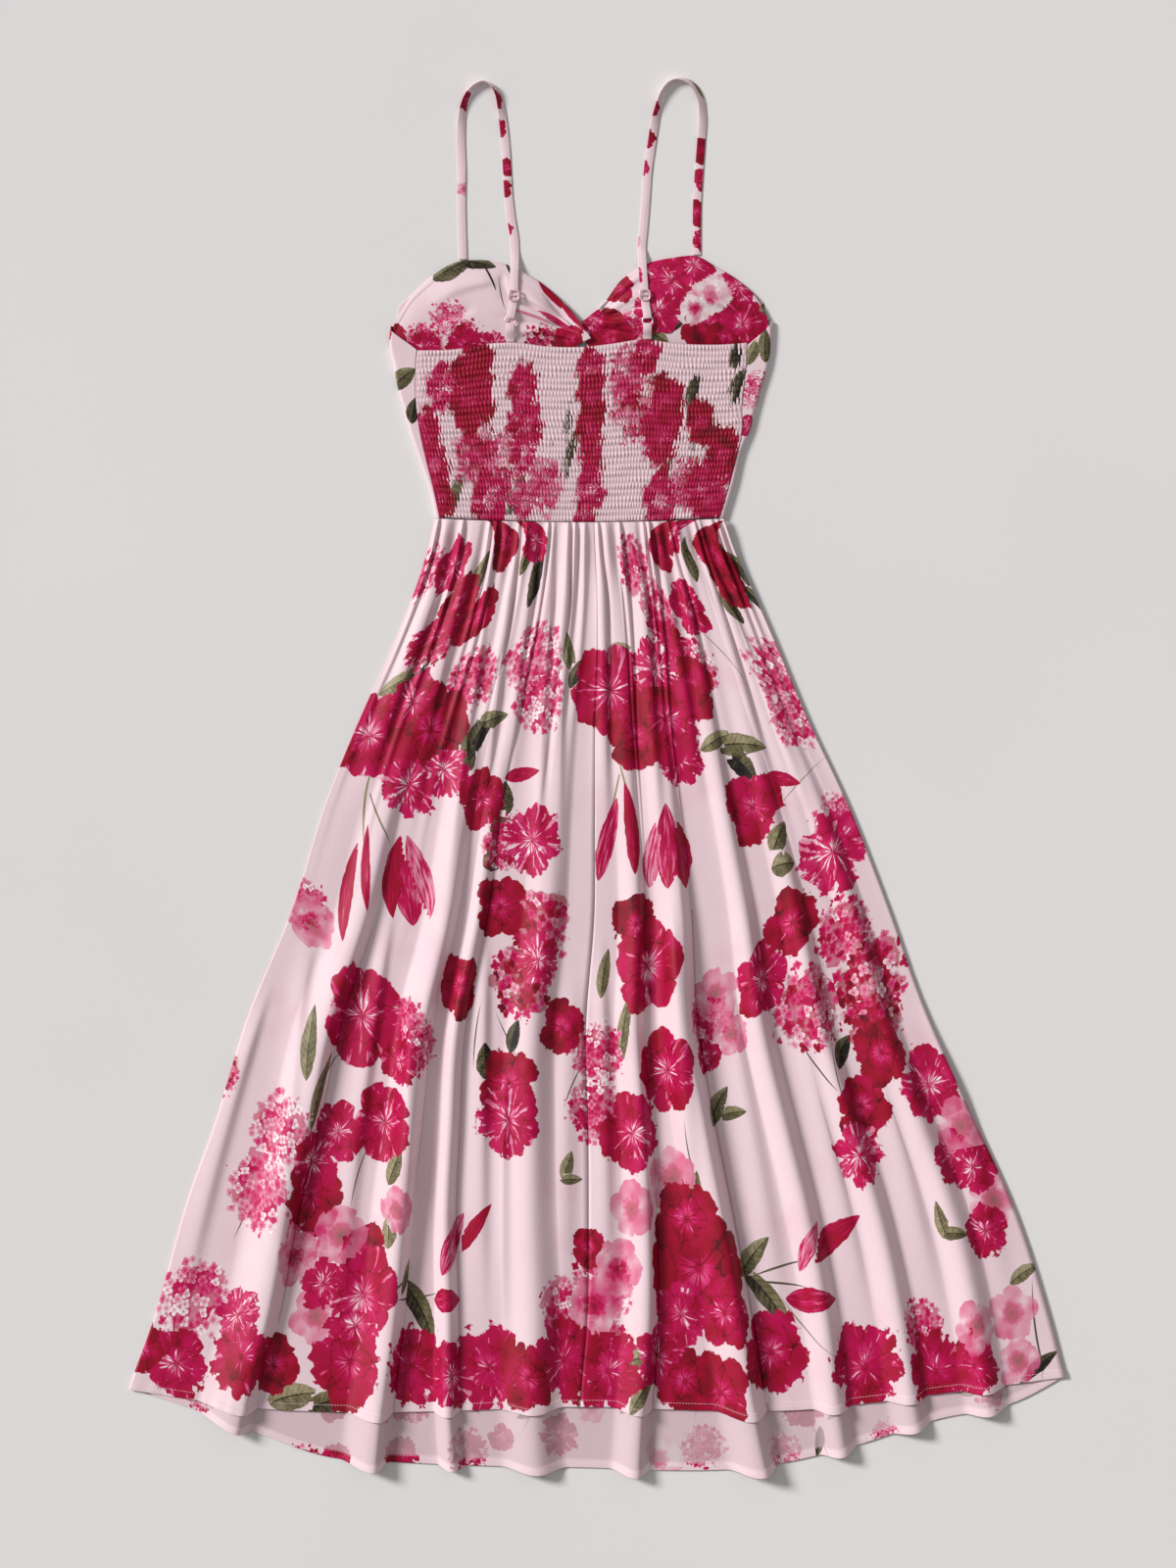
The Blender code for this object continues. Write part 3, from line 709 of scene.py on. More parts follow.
def draw_cluster(graph, under, layer):
    """Heads of many small florets over a deeper wash."""
    place = graph.attribute(layer)
    x, y, seed = graph.split(place)
    count, tone, _ = graph.split(graph.attribute(layer + "_kind"))
    spread = graph.vector(x * count + seed * 31.0, y * count + seed * 17.0)
    values = {"Vector": spread, "Scale": 1.0, "Randomness": 0.9}
    away = graph.node("ShaderNodeTexVoronoi", {"voronoi_dimensions": "2D"}, values, "Distance")
    chance, second_chance, _ = graph.split(away.beside("Color"))
    middle_x, middle_y, _ = graph.split(away.beside("Position"))
    spread_x, spread_y, _ = graph.split(spread)
    angle = graph.math("ARCTAN2", spread_y - middle_y, spread_x - middle_x)
    petal = abs(graph.math("COSINE", angle * 2.0 + chance * 9.0))
    edge = 0.34 + 0.30 * petal * (0.6 + 0.6 * second_chance)
    cell_x = (middle_x - seed * 31.0) / count
    cell_y = (middle_y - seed * 17.0) / count
    cell_radius = graph.math("SQRT", cell_x * cell_x + cell_y * cell_y)
    fray = graph.noise(graph.vector(x, y, seed * 5.0), 2.6, 3.0)
    inside = graph.step(0.92 - cell_radius + (fray - 0.5) * 0.9, 0.0, 0.02)
    floret = graph.step(edge - away, 0.0, 0.05) * inside
    ink = (0.04 + 0.62 * chance * (0.5 + tone) + 0.10 * tone + 0.12 * (fray - 0.5)
           + 0.30 * (1.0 - graph.step(away, 0.04, 0.12)) - 0.12 * graph.step(away, 0.2, 0.5))
    rim = graph.math("SQRT", x * x + y * y) + (fray - 0.5) * 1.1
    wash = (1.0 - graph.step(rim, 0.72, 0.84)) * (0.72 + 0.28 * graph.step(fray, 0.40, 0.55))
    washed = graph.mix(wash, under, ink_color(graph, 0.30 + 0.30 * fray + 0.28 * tone))
    return graph.mix(floret, washed, ink_color(graph, ink))


def draw_blades(graph, under, layer, tones, veins=False, streaks=False):
    """Pointed shapes along a bent middle line: leaves, stems, buds and tulip petals."""
    place = graph.attribute(layer)
    x, y, seed = graph.split(place)
    tone, bend, width = graph.split(graph.attribute(layer + "_kind"))
    taper = graph.math("MAXIMUM", 1.0 - x * x, 0.0)
    off = y - bend * taper
    fray = graph.noise(graph.vector(x, y, seed * 9.0), 4.0, 2.0)
    half = width * taper ** 0.75 * (1.0 - 0.25 * x) * (0.8 + 0.4 * fray)
    mask = graph.step(half - abs(off), 0.0, 0.02)
    across = off / half
    shade = tone + (fray - 0.5) * 0.9
    if veins:
        rib = 1.0 - graph.step(abs(across), 0.03, 0.10)
        side = graph.math("SINE", (x * 1.0 - abs(across) * 0.22) * 34.0 + seed * 20.0)
        shade = (shade + 0.30 * graph.step(across, -0.1, 0.1) - 0.5 * rib
                 - 0.18 * graph.step(side, 0.5, 0.95))
    if streaks:
        run = graph.noise(graph.vector(x * 1.2, across * 2.6, seed * 7.0), 1.7, 3.0)
        shade = tone + (run - 0.5) * 2.4
    first, second, third = tones
    return graph.mix(mask, under, graph.ramp(shade, [(0.0, first), (0.5, second), (1.0, third)]))


def make_floral(name, faded=0.0):
    """Satin-faced printed cloth. Faded is how far the print is lost on the wrong side."""
    graph = Graph(name)
    leaves = (colors().dark_leaf, colors().olive, colors().pale_olive)
    cloth = graph.attribute("cloth")
    u, v, _ = graph.split(cloth)
    wash = graph.noise(cloth, 14.0, 2.0)
    color = graph.mix(graph.step(wash, 0.52, 0.8) * 0.22, colors().ground, colors().pale_pink)
    color = draw_blades(graph, color, "stem", leaves)
    color = draw_blades(graph, color, "leaf", leaves, veins=True)
    color = draw_cluster(graph, color, "cluster")
    color = draw_bloom(graph, color, "bloom")
    color = draw_bloom(graph, color, "topbloom")
    color = draw_blades(graph, color, "petal",
                        (colors().pale_pink, colors().magenta, colors().crimson),
                        streaks=True)
    if faded:
        color = graph.mix(faded, color, colors().wrong_side)
    # Painted shade: the shirred back's hollows are darkened with this tint
    shade_and_weave, _, _ = graph.split(graph.attribute("shade_and_weave"))
    color = graph.mix(shade_and_weave, color, colors().shade_and_weave, blend="MULTIPLY")
    threads = graph.math("SINE", u * 7000.0) * graph.math("SINE", v * 7000.0)
    slub = graph.noise(graph.vector(u * 900.0, v * 60.0), 1.0, 2.0)
    # The same tint also darkens the weave's threads and slubs, as the cloth's own tone
    color = graph.mix(0.10 * slub + 0.05 * threads, color, colors().shade_and_weave, blend="MULTIPLY")
    shader = graph.shader
    graph.feed(shader.inputs["Base Color"], color)
    graph.feed(shader.inputs["Roughness"], 0.44 + 0.12 * slub)
    shader.inputs["Sheen Weight"].default_value = 0.04
    shader.inputs["Sheen Roughness"].default_value = 0.35
    shader.inputs["Specular IOR Level"].default_value = 0.22
    graph.feed(shader.inputs["Normal"], graph.bump(threads * 0.5 + slub, 0.00006, 0.6))
    return graph.material


def make_thread():
    graph = Graph("pink sewing thread")
    place = graph.node("ShaderNodeTexCoord", {}, {}, "Object")
    twist = graph.noise(place, 2400.0, 1.0)
    color = graph.mix(twist, colors().pale_pink, colors().petal_white)
    graph.feed(graph.shader.inputs["Base Color"], color)
    graph.shader.inputs["Roughness"].default_value = 0.6
    return graph.material


def make_coated_metal():
    """Pale pink coated metal of the rings and sliders."""
    graph = Graph("pink coated hardware")
    place = graph.node("ShaderNodeTexCoord", {}, {}, "Object")
    wear = graph.noise(place, 900.0, 3.0)
    color = graph.mix(graph.step(wear, 0.55, 0.75), colors().hardware, colors().pale_pink)
    graph.feed(graph.shader.inputs["Base Color"], color)
    graph.feed(graph.shader.inputs["Roughness"], 0.22 + 0.18 * wear)
    graph.shader.inputs["Metallic"].default_value = 0.35
    graph.shader.inputs["Coat Weight"].default_value = 0.4
    return graph.material


# Print: what is drawn where

Bloom = namedtuple("Bloom", "x y size turn kind")
BLOOM_KINDS = {
    # petals, tone, raggedness
    "hibiscus": (5, 0.66, 0.10),
    "crimson": (4, 1.00, 0.22),
    "magenta": (5, 0.62, 0.26),
    "rose": (3, 0.84, 0.30),
    "lacy": (7, 0.46, 0.55),
    "peony": (7, 0.46, 0.55),
    "lily": (6, 0.70, 0.62),
    "blossom": (5, -0.30, 0.10),
    "white": (5, -0.80, 0.40),
    "carnation": (11, 0.72, 0.70),
}
Cluster = namedtuple("Cluster", "x y size turn tone")
Blade = namedtuple("Blade", "x y size turn tone bend width")

FAR_AWAY = 9.0
CLUSTER_FLORETS = 4.2


def layer_fields(motifs, layer):
    """The drawn numbers of each motif in a layer."""
    if layer in ("bloom", "topbloom"):
        return [BLOOM_KINDS[motif.kind] for motif in motifs]
    if layer == "cluster":
        return [(CLUSTER_FLORETS, motif.tone, 0.35) for motif in motifs]
    return [(motif.tone, motif.bend, motif.width) for motif in motifs]


def near_cloth(motif, points, cloth):
    """Flat cloth coordinates of a place that is given on the laid dress."""
    away = (points[:, 0] - motif.x) ** 2 + (points[:, 1] - motif.y) ** 2
    nearest = np.argmin(away)
    left = np.array([motif.x, motif.y]) - points[nearest, :2]
    return cloth[nearest] + left * MM


def add_vectors(mesh, name, values):
    layer = mesh.attributes.new(name, "FLOAT_VECTOR", "CORNER")
    layer.data.foreach_set("vector", values.astype(np.float32).ravel())


def corner_vertices(mesh):
    """The vertex at each corner of each face."""
    found = np.zeros(len(mesh.loops), dtype=int)
    mesh.loops.foreach_get("vertex_index", found)
    return found


def print_layer(piece, cloth, points, motifs, layer, squeeze):
    """Give each face the local coordinates of the motif that is drawn on it."""
    mesh = piece.data
    corner_verts = corner_vertices(mesh)
    starts = np.zeros(len(mesh.polygons), dtype=int)
    totals = np.zeros(len(mesh.polygons), dtype=int)
    mesh.polygons.foreach_get("loop_start", starts)
    mesh.polygons.foreach_get("loop_total", totals)
    local = np.full((len(corner_verts), 3), FAR_AWAY)
    kinds = np.ones((len(corner_verts), 3))
    if motifs:
        corners = cloth[corner_verts]
        face_of = np.repeat(np.arange(len(starts)), totals)
        middles = np.add.reduceat(corners, starts, axis=0) / totals[:, None]
        fields = np.array(layer_fields(motifs, layer), dtype=float)
        best = np.full(len(starts), 1.35)
        chosen = np.full(len(starts), -1)
        centres = np.array([near_cloth(motif, points, cloth[:len(points)]) for motif in motifs])
        for index, motif in enumerate(motifs):
            x, y = turned(middles - centres[index], motif, squeeze)
            if layer in ("stem", "leaf", "petal"):
                bent = y - fields[index, 1] * (1 - x * x)
                far = np.maximum(np.abs(x), np.abs(bent) / (fields[index, 2] + 6.0 / motif.size))
            else:
                far = np.hypot(x, y)
            nearer = far < best
            best[nearer] = far[nearer]
            chosen[nearer] = index
        on_corner = chosen[face_of]
        for index, motif in enumerate(motifs):
            here = on_corner == index
            x, y = turned(corners[here] - centres[index], motif, squeeze)
            local[here, 0] = x
            local[here, 1] = y
            local[here, 2] = (index * 0.37 + motif.size * 0.011) % 1.0
            kinds[here] = fields[index]
    add_vectors(mesh, layer, local)
    add_vectors(mesh, layer + "_kind", kinds)


def turned(offsets, motif, squeeze):
    """Offsets on the cloth in a motif's own turned and scaled coordinates."""
    angle = math.radians(motif.turn)
    across = offsets[:, 0] / squeeze
    along = offsets[:, 1]
    x = (across * math.cos(angle) + along * math.sin(angle)) / (motif.size * MM)
    y = (along * math.cos(angle) - across * math.sin(angle)) / (motif.size * MM)
    return x, y


def print_on(piece, cloth, points, motifs, squeeze=1.0, painted_shade=None):
    """Draw a table of motifs on a piece of cloth, and mark the painted shade of its drawn-in hollows.
    """
    flat_points = points.reshape(-1, 3)
    blooms = [motif for motif in motifs if isinstance(motif, Bloom)]
    lower = []
    upper = []
    for motif in blooms:
        clear = all(math.dist(motif[:2], other[:2]) > 0.8 * (motif.size + other.size)
                    for other in lower)
        (lower if clear else upper).append(motif)
    layers = {
        "bloom": lower,
        "topbloom": upper,
        "cluster": [motif for motif in motifs if isinstance(motif, Cluster)],
        "stem": [motif for motif in motifs if isinstance(motif, Blade) and motif.width < 0.08],
        "leaf": [motif for motif in motifs
                 if isinstance(motif, Blade) and motif.width >= 0.08 and motif.tone < 1.5],
        "petal": [motif for motif in motifs if isinstance(motif, Blade) and motif.tone >= 1.5],
    }
    for layer, chosen in layers.items():
        if layer == "petal":
            chosen = [motif._replace(tone=motif.tone - 2) for motif in chosen]
        print_layer(piece, cloth, flat_points, chosen, layer, squeeze)
    corner_verts = corner_vertices(piece.data)
    flat = cloth[corner_verts]
    add_vectors(piece.data, "cloth", np.column_stack([flat, np.zeros(len(flat))]))
    if painted_shade is not None:
        depths = np.tile(painted_shade.ravel(), len(cloth) // painted_shade.size)[corner_verts]
        add_vectors(piece.data, "shade_and_weave", np.column_stack([depths, depths, depths]))


# Motifs of the back skirt, placed as they lie in the laid dress
SKIRT_BLOOMS = [
    Bloom(-146, 216, 34, 20, "magenta"),
    Bloom(-122, 163, 34, 10, "crimson"),
    Bloom(-166, 146, 30, 30, "carnation"),
    Bloom(-92, 240, 32, 0, "crimson"),
    Bloom(-62, 240, 26, 40, "magenta"),
    Bloom(-140, 180, 30, 0, "crimson"),
    Bloom(76, 250, 26, 30, "magenta"),
    Bloom(138, 196, 30, 0, "crimson"),
    Bloom(72, 140, 26, 10, "carnation"),
    Bloom(61, 235, 30, 40, "crimson"),
    Bloom(93, 173, 34, 20, "magenta"),
    Bloom(118, 225, 40, 10, "crimson"),
    Bloom(-232, 42, 50, 15, "hibiscus"),
    Bloom(-170, 48, 52, 80, "crimson"),
    Bloom(-192, -8, 38, 30, "lacy"),
    Bloom(14, 88, 52, 30, "magenta"),
    Bloom(70, 60, 56, 65, "rose"),
    Bloom(84, 18, 30, 10, "lacy"),
    Bloom(-118, -22, 34, 10, "rose"),
    Bloom(-66, -64, 40, 50, "lacy"),
    Bloom(159, -30, 42, 10, "rose"),
    Bloom(241, -76, 48, 40, "lacy"),
    Bloom(-98, -132, 36, 30, "crimson"),
    Bloom(200, -148, 40, 60, "crimson"),
    Bloom(-240, -243, 58, 25, "hibiscus"),
    Bloom(-140, -212, 36, 75, "crimson"),
    Bloom(52, -192, 54, 35, "hibiscus"),
    Bloom(72, -299, 46, 0, "hibiscus"),
    Bloom(168, -206, 42, 0, "hibiscus"),
    Bloom(-36, -255, 32, 50, "crimson"),
    Bloom(-88, -312, 40, 20, "crimson"),
    Bloom(-90, -350, 42, 60, "lacy"),
    Bloom(-264, -362, 36, 60, "hibiscus"),
    Bloom(-216, -352, 44, 20, "hibiscus"),
    Bloom(-292, -426, 42, 0, "crimson"),
    Bloom(36, -362, 46, 70, "magenta"),
    Bloom(270, -335, 40, 20, "crimson"),
    Bloom(268, -385, 36, 50, "lacy"),
    Bloom(339, -314, 44, 45, "magenta"),
    Bloom(-261, -467, 34, 60, "blossom"),
    Bloom(-309, -489, 32, 20, "blossom"),
    Bloom(-279, -517, 30, 0, "magenta"),
    Bloom(-286, -549, 34, 40, "blossom"),
    Bloom(-238, -528, 54, 45, "hibiscus"),
    Bloom(-252, -596, 52, 10, "rose"),
    Bloom(-204, -440, 26, 0, "blossom"),
    Bloom(-200, -290, 28, 0, "magenta"),
    Bloom(76, -409, 36, 40, "blossom"),
    Bloom(36, -440, 32, 0, "blossom"),
    Bloom(104, -500, 70, 10, "crimson"),
    Bloom(130, -545, 44, 60, "rose"),
    Bloom(22, -500, 34, 30, "blossom"),
    Bloom(-2, -540, 36, 70, "blossom"),
    Bloom(126, -628, 48, 20, "crimson"),
    Bloom(178, -586, 50, 20, "rose"),
    Bloom(-34, -594, 46, 15, "lily"),
    Bloom(12, -606, 48, 60, "lily"),
    Bloom(-110, -602, 50, 30, "lily"),
    Bloom(-188, -600, 46, 0, "carnation"),
    Bloom(-362, -590, 44, 20, "carnation"),
    Bloom(-366, -548, 30, 50, "lacy"),
    Bloom(-330, -600, 34, 0, "crimson"),
    Bloom(-148, -610, 38, 10, "magenta"),
    Bloom(-70, -612, 40, 40, "crimson"),
    Bloom(62, -590, 40, 20, "magenta"),
    Bloom(90, -616, 38, 60, "crimson"),
    Bloom(-8, -480, 24, 0, "crimson"),
    Bloom(92, -450, 44, 20, "crimson"),
    Bloom(86, -548, 40, 0, "magenta"),
    Bloom(-236, -486, 36, 10, "crimson"),
    Bloom(-246, -560, 40, 60, "magenta"),
    Bloom(-290, -392, 34, 30, "magenta"),
    Bloom(-60, -186, 30, 0, "lacy"),
    Bloom(40, -150, 34, 0, "crimson"),
    Bloom(-186, 76, 36, 0, "magenta"),
    Bloom(-156, 8, 34, 20, "lacy"),
    Bloom(40, 40, 40, 10, "crimson"),
    Bloom(96, 90, 40, 30, "crimson"),
    Bloom(60, 110, 36, 60, "lacy"),
    Bloom(290, -280, 38, 30, "crimson"),
    Bloom(362, -386, 30, 10, "magenta"),
    Bloom(-429, -598, 40, 40, "magenta"),
    Bloom(-464, -583, 28, 0, "crimson"),
    Bloom(-292, -148, 32, 20, "blossom"),
    Bloom(274, -602, 50, 50, "lily"),
    Bloom(345, -606, 42, 0, "carnation"),
    Bloom(384, -600, 36, 40, "lily"),
    Bloom(386, -560, 30, 30, "blossom"),
    Bloom(424, -546, 32, 75, "blossom"),
    Bloom(430, -596, 28, 10, "blossom"),
    Bloom(372, -356, 34, 0, "blossom"),
    Bloom(384, -398, 32, 30, "magenta"),
    Bloom(404, -430, 34, 70, "blossom"),
    Bloom(396, -462, 30, 20, "magenta"),
    Bloom(122, -222, 30, 20, "blossom"),
    Bloom(136, -262, 24, 20, "blossom"),
    Bloom(112, -285, 20, 50, "magenta"),
]
SKIRT_CLUSTERS = [
    Cluster(-178, -275, 32, 0, 0.4),
    Cluster(5, -586, 40, 0, 0.5),
    Cluster(252, -158, 40, 0, 0.5),
    Cluster(-96, -70, 30, 0, 0.6),
    Cluster(-300, -470, 34, 0, 0.2),
    Cluster(330, -560, 30, 0, 0.3),
    Cluster(-34, -540, 34, 0, 0.3),
    Cluster(110, -250, 30, 0, 0.4),
    Cluster(-176, 206, 34, 0, 0.35),
    Cluster(-166, 140, 36, 0, 0.6),
    Cluster(-127, 100, 36, 40, 0.4),
    Cluster(-64, 122, 42, 0, 0.15),
    Cluster(-60, 80, 38, 50, 0.2),
    Cluster(36, 216, 34, 0, 0.3),
    Cluster(62, 170, 36, 0, 0.4),
    Cluster(100, 112, 34, 10, 0.4),
    Cluster(184, 108, 38, 20, 0.2),
    Cluster(204, 64, 38, 70, 0.3),
    Cluster(-58, -150, 44, 0, 0.7),
    Cluster(-74, -205, 46, 50, 0.9),
    Cluster(279, -205, 54, 10, 0.8),
    Cluster(282, -240, 44, 60, 0.9),
    Cluster(216, -235, 50, 40, 0.6),
    Cluster(2, -282, 36, 70, 0.3),
    Cluster(-2, -340, 36, 20, 0.4),
    Cluster(-322, -360, 42, 15, 0.1),
    Cluster(-342, -420, 46, 50, 0.15),
    Cluster(-196, -256, 36, 30, 0.4),
    Cluster(-412, -530, 46, 0, 0.15),
    Cluster(6, -520, 40, 20, 0.5),
    Cluster(-296, -130, 30, 10, 0.2),
    Cluster(246, -44, 36, 20, 0.0),
    Cluster(-384, -300, 26, 0, 0.8),
]
SKIRT_BLADES = [
    Blade(-204, -102, 44, 76, 2.9, 0.06, 0.34),
    Blade(-182, -102, 44, 100, 2.3, -0.06, 0.34),
    Blade(-193, -106, 46, 88, 2.6, 0.02, 0.38),
    Blade(-252, -116, 56, 68, 2.8, 0.06, 0.16),
    Blade(-234, -92, 46, 80, 2.7, 0.04, 0.14),
    Blade(12, -62, 46, 74, 2.6, 0.03, 0.22),
    Blade(34, -52, 48, 98, 2.9, -0.05, 0.20),
    Blade(84, -74, 42, 110, 2.8, -0.06, 0.34),
    Blade(60, -74, 40, 80, 2.3, 0.06, 0.30),
    Blade(72, -70, 44, 94, 2.6, 0.02, 0.36),
    Blade(-146, -476, 36, 62, 2.4, 0.04, 0.34),
    Blade(-124, -460, 32, 52, 3.0, 0.04, 0.26),
    Blade(-152, -533, 22, 0, 2.7, 0.0, 0.55),
    Blade(240, -470, 42, 34, 2.9, 0.03, 0.32),
    Blade(216, -478, 30, 60, 2.3, 0.03, 0.34),
    Blade(220, -532, 36, 0, 2.7, -0.03, 0.36),
    Blade(-76, 3, 22, 10, 2.8, 0.0, 0.34),
    Blade(190, -2, 22, -12, 2.8, 0.0, 0.34),
    Blade(-119, 43, 28, 60, 0.0, 0.1, 0.4),
    Blade(-108, 56, 24, 20, 0.4, 0.1, 0.4),
    Blade(-130, 30, 24, 100, 0.2, 0.1, 0.4),
    Blade(146, 30, 34, 0, 0.5, 0.12, 0.34),
    Blade(124, 36, 26, 20, 0.6, 0.1, 0.34),
    Blade(148, 10, 24, -40, 0.0, 0.1, 0.5),
    Blade(-186, 105, 30, 60, 0.3, 0.05, 0.4),
    Blade(-200, 96, 24, 30, 0.7, 0.05, 0.4),
    Blade(46, -592, 34, 15, 0.6, 0.05, 0.36),
    Blade(72, -612, 40, -20, 0.0, 0.1, 0.4),
    Blade(50, -624, 34, 50, 0.5, 0.1, 0.3),
    Blade(-30, -396, 16, 70, 0.5, 0.0, 0.5),
    Blade(-26, -410, 14, 0, 0.4, 0.0, 0.4),
    Blade(352, -452, 22, 110, 0.5, 0.1, 0.4),
    Blade(364, -466, 18, 0, 0.4, 0.1, 0.4),
    Blade(436, -507, 20, 30, 0.6, 0.1, 0.4),
    Blade(-184, -545, 40, -60, 0.2, 0.15, 0.30),
    Blade(-192, -505, 26, 60, 0.3, 0.1, 0.3),
    Blade(174, -540, 50, -50, 0.3, 0.15, 0.22),
    Blade(160, -490, 28, 50, 0.5, 0.1, 0.4),
    Blade(-309, -634, 34, 10, 0.6, 0.1, 0.4),
    Blade(-270, -640, 34, 10, 0.2, 0.1, 0.3),
    Blade(-290, -270, 40, 80, 0.5, 0.1, 0.26),
    Blade(-280, -320, 44, 68, 0.4, 0.1, 0.18),
    Blade(8, -200, 26, 80, 0.5, 0.05, 0.3),
    Blade(28, -258, 38, 78, 0.5, 0.05, 0.25),
    Blade(124, -336, 24, 60, 0.4, 0.1, 0.4),
    Blade(138, -344, 18, 10, 0.4, 0.1, 0.4),
    Blade(100, -420, 20, 80, 0.5, 0.0, 0.4),
    Blade(-206, -396, 22, 60, 0.5, 0.0, 0.5),
    Blade(-212, -462, 18, 90, 0.6, 0.0, 0.6),
    Blade(-94, -22, 18, 90, 0.2, 0.1, 0.7),
    Blade(-98, -52, 16, 30, 0.0, 0.1, 0.7),
    Blade(-104, -84, 18, 20, 0.3, 0.1, 0.7),
    Blade(186, -62, 18, 70, 0.4, 0.1, 0.7),
    Blade(190, -90, 16, 10, 0.5, 0.1, 0.8),
    Blade(-60, 206, 34, 80, 0.0, 0.1, 0.34),
    Blade(-70, 226, 24, 60, 0.4, 0.1, 0.4),
    Blade(160, 200, 34, -62, 0.2, 0.1, 0.4),
    Blade(170, 176, 24, -70, 0.1, 0.1, 0.4),
    Blade(136, 178, 22, 90, 0.2, 0.1, 0.5),
    Blade(-118, 208, 24, 80, 0.4, 0.1, 0.5),
    Blade(96, 222, 24, 80, 0.3, 0.1, 0.4),
    Blade(-28, 128, 22, 110, 0.5, 0.1, 0.4),
    Blade(-20, 106, 18, 60, 0.1, 0.1, 0.4),
    Blade(56, 116, 30, 90, 0.0, 0.1, 0.3),
    Blade(22, 126, 20, 20, 0.7, 0.1, 0.5),
    Blade(250, -280, 20, 60, 0.0, 0.1, 0.5),
    Blade(-84, -264, 18, 70, 0.0, 0.1, 0.5),
    Blade(-112, -290, 20, 100, 0.0, 0.1, 0.6),
    Blade(452, -602, 26, 40, 0.0, 0.1, 0.3),
    Blade(-232, -24, 50, 75, 0.8, 0.1, 0.04),
    Blade(-222, -34, 40, 110, 0.6, 0.1, 0.04),
    Blade(22, -10, 40, 74, 0.8, 0.05, 0.04),
    Blade(30, -4, 44, 108, 0.8, 0.05, 0.04),
    Blade(-200, -520, 44, 30, 0.3, 0.08, 0.04),
    Blade(-190, -528, 40, 5, 0.2, -0.08, 0.04),
    Blade(190, -500, 40, 14, 0.3, 0.05, 0.04),
    Blade(188, -518, 40, -5, 0.3, 0.05, 0.04),
    Blade(-120, -260, 40, 80, 0.1, 0.1, 0.03),
    Blade(-90, -262, 34, 120, 0.1, 0.1, 0.03),
    Blade(225, -290, 44, 130, 0.1, 0.1, 0.03),
    Blade(246, -300, 34, 100, 0.1, 0.1, 0.03),
    Blade(130, 120, 50, -60, 0.2, 0.1, 0.02),
    Blade(214, -4, 50, 40, 0.6, 0.1, 0.02),
    Blade(-110, 90, 40, 40, 0.2, 0.1, 0.02),
    Blade(-272, -300, 40, 50, 0.2, 0.1, 0.03),
    Blade(-352, -440, 40, 60, 0.2, 0.1, 0.03),
    Blade(-238, -400, 50, 65, 0.3, 0.1, 0.025),
    Blade(220, -560, 60, -40, 0.3, -0.15, 0.02),
    Blade(452, -560, 60, 100, 0.2, 0.1, 0.03),
    Blade(96, -380, 40, 100, 0.3, 0.1, 0.03),
    Blade(-20, -310, 36, 60, 0.1, 0.1, 0.03),
    Blade(-430, -556, 24, 90, 0.1, 0.05, 0.05),
]
SKIRT_MOTIFS = SKIRT_BLOOMS + SKIRT_CLUSTERS + SKIRT_BLADES

# Motifs of the bodice, where the shirring squeezes them
BODICE_MOTIFS = [
    Bloom(-122, 420, 36, 10, "crimson"),
    Bloom(-134, 388, 46, 50, "crimson"),
    Bloom(-160, 398, 30, 20, "lacy"),
    Bloom(-76, 398, 30, 0, "carnation"),
    Bloom(-72, 362, 34, 40, "carnation"),
    Bloom(-74, 335, 26, 10, "lacy"),
    Bloom(-172, 352, 28, 0, "carnation"),
    Bloom(-164, 318, 28, 30, "magenta"),
    Bloom(-156, 284, 28, 0, "crimson"),
    Bloom(-112, 281, 34, 30, "magenta"),
    Bloom(-72, 280, 22, 30, "lacy"),
    Bloom(-6, 414, 28, 0, "magenta"),
    Bloom(-3, 386, 28, 50, "crimson"),
    Bloom(-4, 354, 28, 20, "crimson"),
    Bloom(-4, 322, 24, 40, "carnation"),
    Bloom(-4, 292, 26, 0, "lacy"),
    Bloom(-16, 270, 20, 30, "magenta"),
    Bloom(52, 431, 26, 20, "hibiscus"),
    Bloom(70, 378, 38, 60, "crimson"),
    Bloom(62, 348, 36, 0, "carnation"),
    Bloom(106, 362, 28, 0, "crimson"),
    Bloom(66, 284, 34, 20, "magenta"),
    Bloom(132, 326, 36, 0, "crimson"),
    Bloom(116, 290, 40, 50, "carnation"),
    Bloom(140, 280, 28, 20, "magenta"),
    Cluster(-124, 332, 40, 0, 0.7),
    Cluster(-96, 318, 38, 0, 0.4),
    Cluster(-52, 296, 34, 0, 0.3),
    Cluster(32, 408, 36, 0, 0.4),
    Cluster(34, 372, 36, 0, 0.7),
    Cluster(92, 296, 30, 0, 0.5),
    Blade(-94, 310, 30, 75, 0.3, 0.1, 0.34),
    Blade(-78, 288, 24, 60, 0.3, 0.1, 0.38),
    Blade(-142, 288, 24, 60, 0.4, 0.1, 0.34),
    Blade(98, 387, 26, 70, 0.0, 0.1, 0.38),
    Blade(144, 398, 22, 60, 0.0, 0.1, 0.4),
    Blade(146, 432, 20, 80, 0.0, 0.1, 0.4),
    Blade(74, 316, 28, 80, 0.4, 0.1, 0.25),
    Blade(-30, 362, 30, 80, 0.0, 0.1, 0.10),
    Blade(-26, 330, 34, 70, 0.1, 0.1, 0.14),
    Blade(-40, 318, 30, 100, 0.3, 0.1, 0.06),
    Blade(100, 344, 26, 60, 0.0, 0.1, 0.10),
]
